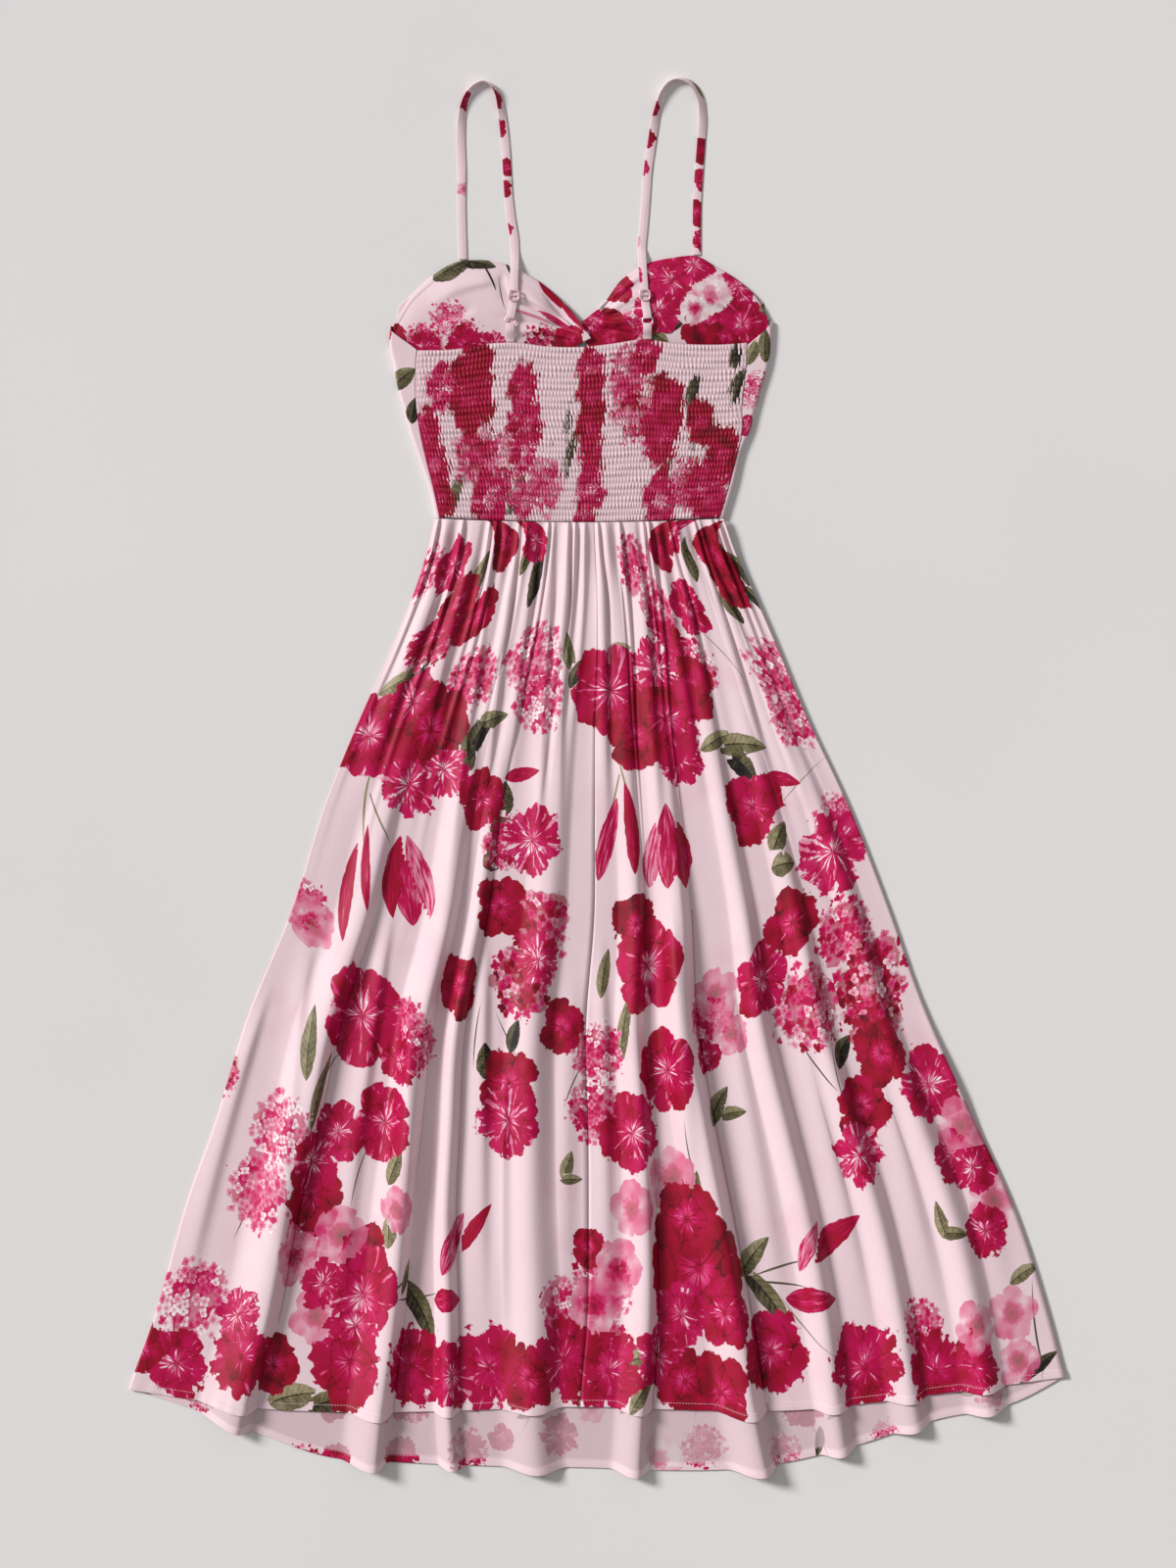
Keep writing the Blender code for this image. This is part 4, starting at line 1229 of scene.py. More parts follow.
LEFT_CUP_MOTIFS = [
    Blade(-146, 518, 24, 28, 0.3, 0.1, 0.46),
    Blade(-124, 523, 22, -8, 0.1, 0.1, 0.34),
    Blade(-112, 512, 22, 118, 0.0, -0.1, 0.06),
    Blade(-88, 518, 14, 118, 0.0, 0.1, 0.12),
    Blade(-96, 494, 20, 100, 0.3, 0.1, 0.04),
    Cluster(-152, 468, 20, 0, 0.1),
    Cluster(-176, 444, 22, 0, 0.6),
    Cluster(-134, 446, 22, 30, 0.7),
    Bloom(-176, 437, 20, 0, "carnation"),
    Bloom(-134, 441, 22, 40, "carnation"),
    Bloom(-106, 440, 16, 10, "lacy"),
    Bloom(-208, 448, 16, 0, "crimson"),
    Bloom(-28, 446, 18, 0, "crimson"),
    Cluster(-56, 444, 20, 0, 0.9),
    Blade(-44, 490, 24, -48, 3.4, 0.0, 0.20),
    Blade(-24, 470, 22, -50, 2.9, 0.05, 0.24),
    Blade(-42, 464, 24, -30, 2.6, 0.05, 0.14),
    Blade(-64, 468, 30, -20, 2.1, 0.05, 0.06),
]
RIGHT_CUP_MOTIFS = [
    Bloom(76, 506, 40, 10, "magenta"),
    Bloom(62, 476, 28, 50, "magenta"),
    Bloom(98, 522, 26, 20, "magenta"),
    Bloom(22, 498, 18, 50, "crimson"),
    Bloom(14, 450, 28, 0, "crimson"),
    Cluster(34, 456, 22, 0, 0.8),
    Bloom(116, 492, 24, 30, "white"),
    Bloom(100, 478, 18, 70, "white"),
    Bloom(144, 500, 24, 70, "magenta"),
    Bloom(112, 460, 30, 0, "crimson"),
    Bloom(148, 462, 28, 40, "magenta"),
    Bloom(132, 446, 24, 10, "crimson"),
    Bloom(-4, 466, 14, 30, "magenta"),
    Blade(70, 459, 18, 10, 0.0, 0.1, 0.6),
    Blade(62, 448, 14, -30, 0.4, 0.1, 0.5),
    Blade(173, 476, 16, 60, 0.4, 0.1, 0.4),
    Blade(168, 462, 14, 30, 0.1, 0.1, 0.5),
]
SIDE_MOTIFS = [
    Blade(-197, 406, 16, 40, 0.3, 0.1, 0.6),
    Blade(-186, 374, 14, 80, 0.0, 0.1, 0.5),
    Bloom(-204, 448, 16, 0, "crimson"),
    Blade(161, 434, 16, 60, 0.5, 0.1, 0.4),
    Blade(173, 440, 18, 80, 0.3, 0.1, 0.4),
    Bloom(154, 358, 12, 0, "magenta"),
    Cluster(165, 395, 22, 0, 0.0),
]
LEFT_STRAP_MOTIFS = [
    Bloom(-134, 690, 12, 0, "crimson"),
    Bloom(-100, 692, 14, 0, "crimson"),
    Bloom(-95, 662, 12, 0, "rose"),
    Bloom(-92, 622, 10, 0, "crimson"),
    Bloom(-91, 602, 12, 0, "crimson"),
    Bloom(-84, 560, 7, 0, "magenta"),
    Bloom(-137, 600, 8, 0, "blossom"),
]
RIGHT_STRAP_MOTIFS = [
    Blade(100, 700, 14, 80, 0.6, 0.0, 0.5),
    Bloom(103, 640, 16, 0, "crimson"),
    Bloom(102, 610, 14, 0, "rose"),
    Bloom(102, 575, 16, 0, "crimson"),
    Bloom(102, 548, 14, 0, "magenta"),
    Bloom(60, 680, 12, 0, "rose"),
    Bloom(56, 650, 12, 0, "crimson"),
    Bloom(52, 622, 10, 0, "magenta"),
    Bloom(46, 512, 12, 0, "magenta"),
    Bloom(48, 545, 6, 0, "blossom"),
]

HIDDEN_SEED = 7


def scattered(left, right, low, high, pitch, seed):
    """An uneven scatter of like motifs, for cloth that the laid dress hides."""
    rng = np.random.default_rng(seed)
    kinds = list(BLOOM_KINDS)
    found = []
    for row, y in enumerate(np.arange(low, high, pitch)):
        for x in np.arange(left + pitch * 0.5 * (row % 2), right, pitch):
            place = (x + rng.uniform(-0.3, 0.3) * pitch, y + rng.uniform(-0.3, 0.3) * pitch)
            choice = rng.uniform()
            turn = rng.uniform(0, 360)
            if choice < 0.45:
                size = rng.uniform(0.28, 0.5) * pitch
                found.append(Bloom(*place, size, turn, kinds[rng.integers(len(kinds))]))
            elif choice < 0.65:
                found.append(Cluster(*place, rng.uniform(0.35, 0.5) * pitch, turn, rng.uniform()))
            elif choice < 0.85:
                found.append(Blade(*place, 0.3 * pitch, turn, rng.uniform(), 0.1, 0.33))
                found.append(Blade(*place, 0.5 * pitch, turn + 40, rng.uniform(), 0.1, 0.03))
    return found


# Skirt pieces

def skirt_layout(fineness):
    """Fine columns of both back panels."""
    left_waist, right_waist = skirt_edges(0.0)
    left_mid, right_mid = skirt_edges(MIDDLE_DOWN)
    left_hem, right_hem = HEMS[0, 0], HEMS[-1, 0]
    left = panel_columns(LEFT_FLUTES, (left_waist, left_mid, left_hem), SEAM_TRACK,
                         AFTER_LEFT, fineness)
    right = panel_columns(RIGHT_FLUTES, SEAM_TRACK, (right_waist, right_mid, right_hem),
                          AFTER_RIGHT, fineness)
    return left, right


def skirt_rows(step):
    """Shares of the skirt's length, with close rows at the waist and in the hem's fold."""
    main = np.arange(0, SKIRT_LENGTH - ROWS_END, step)
    close = SKIRT_LENGTH - np.array(ROWS_AT_HEM)
    return np.concatenate([ROWS_AT_WAIST, main[1:], close]) / SKIRT_LENGTH


def add_creases(points, creases):
    """Lift soft ridges and troughs that are listed."""
    height = np.zeros(points.shape[:2])
    x = points[..., 0]
    y = points[..., 1]
    for crease in creases:
        run_x = crease.end_x - crease.x
        run_y = crease.end_y - crease.y
        length = math.hypot(run_x, run_y)
        along = ((x - crease.x) * run_x + (y - crease.y) * run_y) / length ** 2
        bow = crease.bow * np.clip(along, 0, 1) * (1 - np.clip(along, 0, 1)) * 4
        away = ((x - crease.x) * run_y - (y - crease.y) * run_x) / length - bow
        width = crease.width * (0.6 + 0.8 * np.clip(along, 0, 1))
        fade = smooth(along / 0.2) * smooth((1 - along) / 0.45)
        side = np.where(away > 0, BROAD_SIDE, STEEP_SIDE)
        height += crease.height * fade * np.exp(-(away / width / side) ** 2)
    return height


def hem_fold(rows):
    """Extra thickness of the folded and stitched hem."""
    from_hem = (1 - rows) * SKIRT_LENGTH
    fold = smooth((HEM_FOLD_WIDTH - from_hem) / HEM_FOLD_EDGE)
    line = np.exp(-((from_hem - STITCH_LINE) / STITCH_LINE_WIDTH) ** 2)
    return HEM_FOLD_HEIGHT * fold - STITCH_LINE_DEPTH * line


def sheet_size(points):
    """Width, length and area in metres of a sheet that is pressed flat."""
    width = row_arcs(points)[:, -1].max() * MM
    length = column_arcs(points)[-1].max() * MM
    first = points[1:, 1:] - points[:-1, :-1]
    second = points[1:, :-1] - points[:-1, 1:]
    area = 0.5 * np.linalg.norm(np.cross(first, second), axis=2).sum() * MM * MM
    return (width, length), min(area, width * length)


def skirt_cloth(points, seam_column):
    """Flat coordinates of the skirt's cloth, in metres, from the centre-back seam."""
    across = row_arcs(points, seam_column)
    downs = WAIST_Y - points[..., 1]
    across = across * (1 + GATHERED_CLOTH * np.exp(-(downs / GATHERED_REACH) ** 2))
    seam_x = points[:, seam_column, 0][:, None]
    return np.stack([(across + seam_x) * MM, points[..., 1] * MM], axis=-1)


def make_skirt_back(name, columns, seam_column, hand):
    rows = skirt_rows(sizes().skirt_step / MM)
    hems = hem_downs(columns[2], front=False)
    downs = rows[:, None] * hems
    form = skirt_points(columns, downs)
    lifts = gather_heights(columns[4], downs)
    thickness = LINING_BELOW + SOLID_CLOTH - CLOTH_INSET
    upper = lift_points(move_out(form, np.full(form.shape[:2], thickness)), lifts)
    ripple = RIPPLE_HEIGHT * np.sin(columns[4] * 3.1) * np.sin(columns[4] * 1.3 + 1)
    hem_share = np.exp(-((1 - rows) * SKIRT_LENGTH / RIPPLE_REACH) ** 2)
    extra = hem_fold(rows)[:, None] + hem_share[:, None] * ripple
    extra = extra + add_creases(upper, SKIRT_CREASES)
    upper = move_out(upper, extra)
    upper[:, seam_column, 0] += hand * SEAM_GAP / 2
    cloth = skirt_cloth(upper, seam_column)
    sheet, flat = make_sheet(name, upper, cloth)
    return sheet, flat, upper


Crease = namedtuple("Crease", "x y end_x end_y bow width height")
SKIRT_CREASES = [
    Crease(-150, 225, -250, -70, 5, 6, 4.1),
    Crease(-122, 240, -192, -60, 6, 6, 3.8),
    Crease(-100, 235, -158, -170, 4, 5, 3.5),
    Crease(-82, 240, -120, -90, 2, 5, 4.3),
    Crease(-60, 240, -92, -30, 3, 5, 3.8),
    Crease(-44, 240, -62, -160, 2, 6, 4.1),
    Crease(-28, 245, -40, -100, 2, 5, 3.5),
    Crease(4, 240, 10, -110, -1, 6, 3.8),
    Crease(22, 240, 36, -60, -2, 5, 3.8),
    Crease(42, 240, 68, -150, -3, 6, 4.3),
    Crease(62, 240, 110, -60, -4, 5, 3.8),
    Crease(80, 235, 148, -150, -4, 6, 4.1),
    Crease(97, 240, 190, -70, -6, 6, 3.8),
    Crease(114, 225, 236, -100, -6, 6, 4.1),
    Crease(-330, -200, -440, -610, 6, 9, 4.1),
    Crease(-290, -150, -330, -570, 4, 10, 3.5),
    Crease(-206, -120, -268, -610, 6, 8, 4.6),
    Crease(-184, -180, -196, -610, 3, 7, 3.8),
    Crease(-112, -150, -116, -620, 3, 8, 4.6),
    Crease(-92, -280, -94, -630, 2, 7, 3.8),
    Crease(-22, -190, -32, -620, 4, 9, 4.1),
    Crease(4, -150, 10, -620, -2, 8, 4.3),
    Crease(74, -110, 104, -620, -4, 9, 4.6),
    Crease(128, -190, 198, -610, -4, 8, 4.1),
    Crease(196, -210, 286, -610, -5, 9, 4.3),
    Crease(258, -190, 360, -600, -5, 9, 4.3),
    Crease(330, -170, 428, -590, -5, 10, 3.8),
]


def make_stitches(name, route):
    """A row of sewing stitches along a route, half sunk into the cloth."""
    arcs = np.concatenate([[0], np.cumsum(np.linalg.norm(np.diff(route, axis=0), axis=1))])
    places = np.arange(STITCH_PITCH, arcs[-1] - STITCH_PITCH, STITCH_PITCH)
    middles = np.stack([np.interp(places, arcs, route[:, axis]) for axis in range(3)], axis=1)
    ahead = np.stack([np.interp(places + 1, arcs, route[:, axis]) for axis in range(3)], axis=1)
    along = ahead - middles
    along /= np.linalg.norm(along, axis=1, keepdims=True)
    across = np.cross(np.array([0, 0, 1.0]), along)
    across /= np.linalg.norm(across, axis=1, keepdims=True)
    up = np.cross(along, across)
    rings = ((-0.5, 0.35), (-0.25, 1.0), (0.25, 1.0), (0.5, 0.35))
    sides = 6
    verts = []
    for share, scale in rings:
        for side in range(sides):
            angle = 2 * math.pi * side / sides
            offset = across * math.cos(angle) + up * math.sin(angle)
            verts.append(middles + along * share * STITCH_LENGTH + offset * STITCH_RADIUS * scale)
    verts = np.stack(verts, axis=1)
    per_stitch = len(rings) * sides
    quads = []
    for ring in range(len(rings) - 1):
        for side in range(sides):
            after = (side + 1) % sides
            quads.append((ring * sides + side, ring * sides + after,
                          (ring + 1) * sides + after, (ring + 1) * sides + side))
    caps = [tuple(range(sides))[::-1], tuple(range(per_stitch - sides, per_stitch))]
    faces = []
    for index in range(len(middles)):
        base = index * per_stitch
        faces.extend([tuple(base + corner for corner in quad) for quad in quads + caps])
    stitches = new_mesh(name, verts.reshape(-1, 3) * MM, faces)
    stitches.data.shade_smooth()
    return stitches


# Bodice pieces

def side_x(side, y, column):
    table = side[::-1]
    return curve(y, table[:, 0], table[:, column])


def make_bodice_back(name):
    """The shirred back: rows of small puckers between the elastic threads, with the painted shade of
    its hollows.
    """
    lines = ELASTIC_ROWS * 4 + 1
    across = PUCKERS * 4 + 1
    part = np.linspace(0, 1, lines)[:, None]
    share = np.linspace(0, 1, across)[None, :]
    near_x = BACK_LEFT_X + BACK_WIDTH * share
    top = curve(near_x, BACK_TOP[:, 0], BACK_TOP[:, 1])
    y = top + (waist_y(near_x) - top) * part
    start = side_x(LEFT_SIDE, y, 2) + SEAM_GAP / 2
    end = side_x(RIGHT_SIDE, y, 2) - SEAM_GAP / 2
    x = start + (end - start) * share
    row = np.minimum(np.floor(part * ELASTIC_ROWS), ELASTIC_ROWS - 1)
    in_row = part * ELASTIC_ROWS - row
    drift = 0.35 * np.sin(row * 1.9 + share * 21) + 0.25 * np.sin(row * 0.7 + share * 47)
    phase = share * PUCKERS + 0.5 * (row % 2) + drift
    pucker = np.abs(np.sin(math.pi * phase)) ** 1.2
    rib = np.abs(np.sin(math.pi * in_row)) ** 0.6
    fullness = 0.8 + 0.2 * np.sin(row * 2.3 + share * 31)
    height = RIB_HEIGHT * rib * (0.12 + 0.88 * pucker) * fullness
    edge = smooth(np.minimum(share, 1 - share) * PUCKERS / 2)
    z = BODICE_INSIDE + SOLID_CLOTH + height * (0.3 + 0.7 * edge)
    y = y + 0.35 * np.sin(phase * math.pi * 2) * rib
    points = np.stack([x, y, z], axis=-1)
    streak = 2.6 * np.sin(2 * math.pi * phase) + 2.0 * np.sin(share * 150 + row * 1.3)
    drag = 2.4 * np.sin(math.pi * phase + 1.0) * np.sin(share * 90)
    cloth = np.stack([(x + streak) * MM, (y + drag) * MM], axis=-1)
    sheet, flat = make_sheet(name, points, cloth)
    # Painted shade: the cloth's colour is darkened the lower it lies between the puckers
    painted_shade = PAINTED_SHADE_STRENGTH * (1 - height / height.max()) ** 1.5
    return sheet, flat, points, painted_shade


def make_side_panel(name, side, hand):
    """A side panel that runs under the bodice and turns up round its side."""
    radius = FOLD_RADIUS - CLOTH_INSET
    under_steps = 6
    turn_steps = 14
    top_steps = 14
    rows = 90
    lean_rows = np.array([0.0, 1.0, 2.0])
    leans = np.array([1.0, 0.6, 0.0])
    across = under_steps + turn_steps + top_steps + 1
    place = np.linspace(0, len(side) - 1, rows)
    row_y = curve(place, np.arange(len(side)), side[:, 0])
    lean = np.interp(place, lean_rows, leans)
    slant = np.zeros(across)
    slant[-top_steps - 1:] = ARMHOLE_SLANT * np.linspace(0.25, 1, top_steps + 1)
    slant[under_steps:under_steps + turn_steps + 1] = (
        ARMHOLE_SLANT * 0.25 * smooth(np.linspace(-1, 1, turn_steps + 1)))
    points = np.zeros((rows, across, 3))
    for column in range(across):
        y = row_y - slant[column] * lean
        y[-1] = waist_y(side[-1, 1])
        axis_x = side_x(side, y, 1) - hand * FOLD_RADIUS
        inner = side_x(side, y, 3)
        seam = side_x(side, y, 2) + hand * SEAM_GAP / 2
        if column < under_steps:
            x = inner + (axis_x - inner) * column / under_steps
            z = np.full(rows, FOLD_RADIUS - radius)
        elif column <= under_steps + turn_steps:
            turn = math.pi * (column - under_steps) / turn_steps
            x = axis_x + hand * radius * math.sin(turn)
            z = np.full(rows, FOLD_RADIUS - radius * math.cos(turn))
        else:
            share = (column - under_steps - turn_steps) / top_steps
            x = axis_x + (seam - axis_x) * share
            z = np.full(rows, FOLD_RADIUS + radius)
        points[:, column] = np.stack([x, y, z], axis=-1)
    seam_column = -1
    if hand > 0:
        points = points[:, ::-1]
        seam_column = 0
    across_cloth = row_arcs(points, seam_column) + points[:, seam_column, 0][:, None]
    cloth = np.stack([across_cloth * MM, points[..., 1] * MM], axis=-1)
    sheet, flat = make_sheet(name, points, cloth)
    return sheet, flat, points


def cup_top(cup, x):
    table = cup[np.argsort(cup[:, 0])]
    return curve(x, table[:, 0], table[:, 1])


def cup_height(cup, x, y):
    """Height of the cup's soft swell, with creases from the middle of the front."""
    reach = np.clip((x - cup[0, 0]) / (cup[-1, 0] - cup[0, 0]), 0, 1)
    top = cup_top(cup, x)
    part = np.clip((y - CUP_EDGE_Y) / np.maximum(top - CUP_EDGE_Y, 1.0), 0, 1)
    swell = np.sin(math.pi * reach) ** 0.6 * np.sin(math.pi * part) ** 0.8
    swell = swell * smooth((reach - 0.1) / 0.15)
    fade = 1 - smooth(reach / 0.5)
    for line in CUP_CREASE_LINES:
        crease = np.exp(-((part - line) / CUP_CREASE_WIDTH) ** 2)
        swell = swell * (1 - CUP_CREASE_SHARE * crease * fade)
    return CUP_HEIGHT * swell


# Folds of the lining, from the twist at the middle of the front and round the cups
CUP_FOLDS = {
    "left": [
        Crease(-16, 452, -108, 470, 3, 3.2, -3.0),
        Crease(-28, 458, -86, 488, 2, 2.6, -3.2),
        Crease(-22, 457, -76, 496, -3, 2.6, 3.6),
        Crease(-14, 455, -60, 506, -6, 2.0, -1.8),
        Crease(-22, 447, -96, 455, 2, 2.8, 3.0),
        Crease(-96, 516, -82, 478, 4, 4.0, -1.8),
        Crease(-100, 505, -176, 480, 6, 7.0, 2.4),
        Crease(-120, 480, -190, 462, -4, 6.0, -1.4),
    ],
    "right": [
        Crease(-2, 468, 42, 464, 3, 2.8, 3.4),
        Crease(2, 474, 36, 502, -2, 2.4, -2.8),
        Crease(10, 482, 46, 512, -2, 2.4, 3.0),
        Crease(0, 460, 60, 450, 2, 2.6, -2.6),
        Crease(6, 472, 52, 484, 3, 2.4, -2.2),
        Crease(90, 510, 152, 480, 5, 7.0, 1.6),
        Crease(100, 480, 160, 462, -3, 6.0, -1.2),
    ],
}


def cup_points(name, cup, hand, side, lining):
    """Rows of points from the cup's outline down to the underbust seam."""
    columns = 110
    lines = 64
    under_rows = 6
    place = np.linspace(0, len(cup) - 1, columns)
    index = np.arange(len(cup))
    ordered_x = curve(place, index, cup[:, 0])
    tops = curve(place, index, cup[:, 1])
    insets = np.interp(place, index, cup[:, 2])
    line = np.linspace(1, 0, lines)[:, None]
    to_side = smooth(place - (len(cup) - 2))
    share = (ordered_x - cup[0, 0]) / (cup[-1, 0] - cup[0, 0])
    edge_start = CENTRE_FRONT + hand * CENTRE_SPREAD
    under_start = CENTRE_FRONT + hand * SEAM_GAP / 2
    top_x = ordered_x.copy()
    if lining:
        last_top = side_x(side, cup[-1, 1], 1) - hand * (LINING_SIDE_REACH + 0.5)
        last_edge = side_x(side, CUP_EDGE_Y, 1) - hand * LINING_SIDE_REACH
        last_under = side_x(side, UNDERBUST_Y, 1) - hand * LINING_SIDE_REACH
        tops = tops + (side[0, 0] + 1.0 - tops) * to_side
        tops = tops - insets * (1 - to_side)
    else:
        last_top = ordered_x[-1]
        last_edge = side_x(side, CUP_EDGE_Y, 3) - hand * SEAM_GAP
        last_under = side_x(side, UNDERBUST_Y, 3) - hand * SEAM_GAP
    top_x = top_x + (last_top - top_x) * to_side
    edge_x = edge_start + (last_edge - edge_start) * share
    under_x = under_start + (last_under - under_start) * share
    y = CUP_EDGE_Y + (tops - CUP_EDGE_Y) * line
    x = edge_x + (top_x - edge_x) * line
    z = cup_height(cup, x, y)
    if hand < 0:
        hold = smooth(line / 0.5) * 0.7 + 0.3
        crossing_share = np.interp(place, (0, 1, 2, 3), (1.0, 1.0, 0.3, 0.0))
        z = np.maximum(z, CROSSING_HEIGHT * crossing_share * hold)
    main = np.stack([x, y, z], axis=-1)
    down = np.linspace(0, 1, under_rows + 1)[1:, None]
    low_y = CUP_EDGE_Y + (UNDERBUST_Y + SEAM_GAP / 2 - CUP_EDGE_Y) * down + 0 * edge_x
    low_x = edge_x + (under_x - edge_x) * down
    low = np.stack([low_x, low_y, np.zeros_like(low_x)], axis=-1)
    points = np.concatenate([main, low], axis=0)
    if lining:
        points = lift_points(points, LINING_BELOW + SOLID_CLOTH - LAYER_INSET)
        points[..., 2] += np.maximum(add_creases(points, CUP_FOLDS[name]), DEEPEST_FOLD)
        rim = np.concatenate([(1 - line) * (tops - CUP_EDGE_Y), np.full_like(low_x, BEYOND_CUP)])
        stitch_line = np.exp(-((rim - BINDING_STITCH) / 0.8) ** 2)
        binding = smooth((BINDING_WIDTH - rim) / 1.5) * 0.6 - 0.3 * stitch_line
        points[..., 2] += binding
    if hand < 0:
        points = points[:, ::-1]
    return points


def make_cup(name, cup, hand, side, lining):
    piece_name = ("cup_lining_cloth_" if lining else "cup_outer_cloth_") + name
    points = cup_points(name, cup, hand, side, lining)
    cloth = points[..., :2] * MM
    shown = points
    if not lining:
        cloth = cloth + FRONT_CLOTH_SHIFT
        shown = lift_points(points, 0.05)[:, ::-1]
        cloth = cloth[:, ::-1]
    sheet, flat = make_sheet(piece_name, shown, cloth)
    return sheet, flat, shown


def make_midriff(name):
    """The flat front band between the cups and the waist."""
    rows = 40
    columns = 80
    part = np.linspace(0, 1, rows)[:, None]
    share = np.linspace(0, 1, columns)[None, :]
    top = UNDERBUST_Y - SEAM_GAP / 2
    y = top + (waist_y(BAND_LEFT_X + BAND_WIDTH * share) - top) * part
    start = side_x(LEFT_SIDE, y, 3) + 2 * SEAM_GAP
    end = side_x(RIGHT_SIDE, y, 3) - 2 * SEAM_GAP
    x = start + (end - start) * share
    points = np.stack([x, y, np.full_like(x, BAND_HEIGHT)], axis=-1)[:, ::-1]
    cloth = points[..., :2] * MM + FRONT_CLOTH_SHIFT
    sheet, flat = make_sheet(name, points, cloth)
    return sheet, flat, points


# Straps

def cup_at(x):
    return LEFT_CUP if x < CUPS_MEET_X else RIGHT_CUP


def bodice_top(x, y):
    """Height of the highest layer of the cups at a place."""
    cup = cup_at(x)
    top = float(cup_top(cup, x))
    if y > top + CUP_RAMP:
        return 0.0
    ramp = float(smooth((top + CUP_RAMP - y) / CUP_RAMP))
    return (LINING_BELOW + SOLID_CLOTH) * ramp + float(cup_height(cup, x, y))


def highest_under(x, y):
    half = STRAP_WIDTH / 2
    return max(bodice_top(x + dx, y + dy) for dx in (-half, 0, half) for dy in (-4, 0, 4))


def strap_heights(strap):
    """The strap's route with the height of its middle, as on its solid."""
    half_width = STRAP_WIDTH / 2
    cup = cup_at(strap[0, 0])
    start_y = SEAM_GAP + max(cup_top(cup, strap[0, 0] + dx) for dx in (-half_width, 0, half_width))
    route = [(strap[0, 0], start_y, SOLID_CLOTH / 2, strap[0, 2])]
    for x, y, turn in strap[1:]:
        angle = math.radians(turn)
        half = half_width * abs(math.sin(angle)) + SOLID_CLOTH / 2 * abs(math.cos(angle))
        under = highest_under(x, y) if turn > 90 else 0.0
        gap = LAYER_GAP if under > 0 else 0.0
        route.append((x, y, under + gap + half, turn))
    return np.array(route)


def make_ribbon(route):
    """A turned strap of cloth: a flat tube with soft edges along a smooth route."""
    arcs = np.concatenate([[0], np.cumsum(np.linalg.norm(np.diff(route[:, :2], axis=0), axis=1))])
    count = max(int(arcs[-1] / STRAP_STEP), 12)
    places = np.linspace(0, arcs[-1], count)
    x, y, z, turn = (curve(places, arcs, route[:, axis]) for axis in range(4))
    along = np.gradient(np.stack([x, y, z], axis=1), axis=0)
    along /= np.linalg.norm(along, axis=1, keepdims=True)
    on_edge = np.abs(np.sin(np.radians(turn)))
    half_width = STRAP_WIDTH / 2
    half_cloth = SOLID_CLOTH / 2
    z = np.maximum(z, on_edge * half_width + (1 - on_edge) * half_cloth + ABOVE_FLOOR)
    angle = np.radians(turn)[:, None]
    side = np.stack([-along[:, 1], along[:, 0], np.zeros(count)], axis=1)
    side /= np.linalg.norm(side, axis=1, keepdims=True)
    up = np.array([[0, 0, 1.0]])
    wide = side * np.cos(angle) + up * np.sin(angle)
    thick = up * np.cos(angle) - side * np.sin(angle)
    turns = 2 * math.pi * np.arange(STRAP_SIDES + 1) / STRAP_SIDES
    middle = np.stack([x, y, z], axis=1)
    wave = 0.25 * np.sin(places / 9.0) + 0.2 * np.sin(places / 4.1 + 1)
    points = np.zeros((count, STRAP_SIDES + 1, 3))
    cloth = np.zeros((count, STRAP_SIDES + 1, 2))
    for column, turn_angle in enumerate(turns):
        a = np.sign(np.cos(turn_angle)) * abs(np.cos(turn_angle)) ** 0.7
        b = np.sign(np.sin(turn_angle)) * abs(np.sin(turn_angle)) ** 0.8
        rim = np.sin(turn_angle)
        dip = 1 - 0.35 * math.exp(-((abs(a) - 0.72) / 0.10) ** 2)
        points[:, column] = (middle + wide * a * half_width
                             + thick * (b * half_cloth * dip + 0.15 * wave[:, None] * rim ** 2))
        cloth[:, column, 0] = (a * half_width + (8 if b > 0 else 0)) * MM
        cloth[:, column, 1] = places * MM
    return points, cloth


def strap_route(strap, hardware):
    """The strap's route over its ring, the ring's height and that of the cloth over it."""
    route = strap_heights(strap)
    ring_z = bodice_top(hardware.ring_x, hardware.ring_y) + RING_ABOVE_CUP
    over_wire = ring_z + WIRE / 2 + SEAM_GAP + SOLID_CLOTH / 2
    route[-2:, 2] = np.maximum(route[-2:, 2], over_wire)
    return route, ring_z, over_wire


def tab_route(hardware, over_wire):
    """The tab's route from over its ring down to the back's top edge."""
    steps = 8
    share = np.linspace(0, 1, steps)
    half = STRAP_WIDTH / 2
    start_y = hardware.ring_y - TAB_OVERLAP
    end_y = SEAM_GAP + max(back_top(hardware.ring_x + dx) for dx in (-half, 0, half))
    low = BODICE_INSIDE + SOLID_CLOTH / 2
    return np.stack([np.full(steps, hardware.ring_x),
                     start_y + (end_y - start_y) * share,
                     over_wire + (low - over_wire) * smooth((share - 0.3) / 0.7),
                     np.zeros(steps)], axis=1)


def sew_strip(name, node, route, motifs, rests_on):
    """Sew a strap or tab: a printed tube of cloth along a route, closed at both ends."""
    points, cloth = make_ribbon(route)
    piece = new_mesh(name, points.reshape(-1, 3) * MM, grid_faces(*points.shape[:2]))
    piece.data.shade_smooth()
    dress(piece, node, both_sides()[:1])
    print_on(piece, cloth.reshape(-1, 2), points, motifs)
    close_tube(piece)


def close_tube(piece):
    """Weld a tube's long seam and sew up its two ends."""
    select_only(piece)
    bpy.ops.object.mode_set(mode="EDIT")
    bpy.ops.mesh.select_all(action="SELECT")
    bpy.ops.mesh.remove_doubles(threshold=SEAM_WELD * MM)
    bpy.ops.mesh.select_all(action="SELECT")
    bpy.ops.mesh.fill_holes(sides=0)
    bpy.ops.mesh.select_all(action="SELECT")
    bpy.ops.mesh.normals_make_consistent(inside=False)
    bpy.ops.object.mode_set(mode="OBJECT")


def back_top(x):
    return float(curve(x, BACK_TOP[:, 0], BACK_TOP[:, 1]))


# Hardware

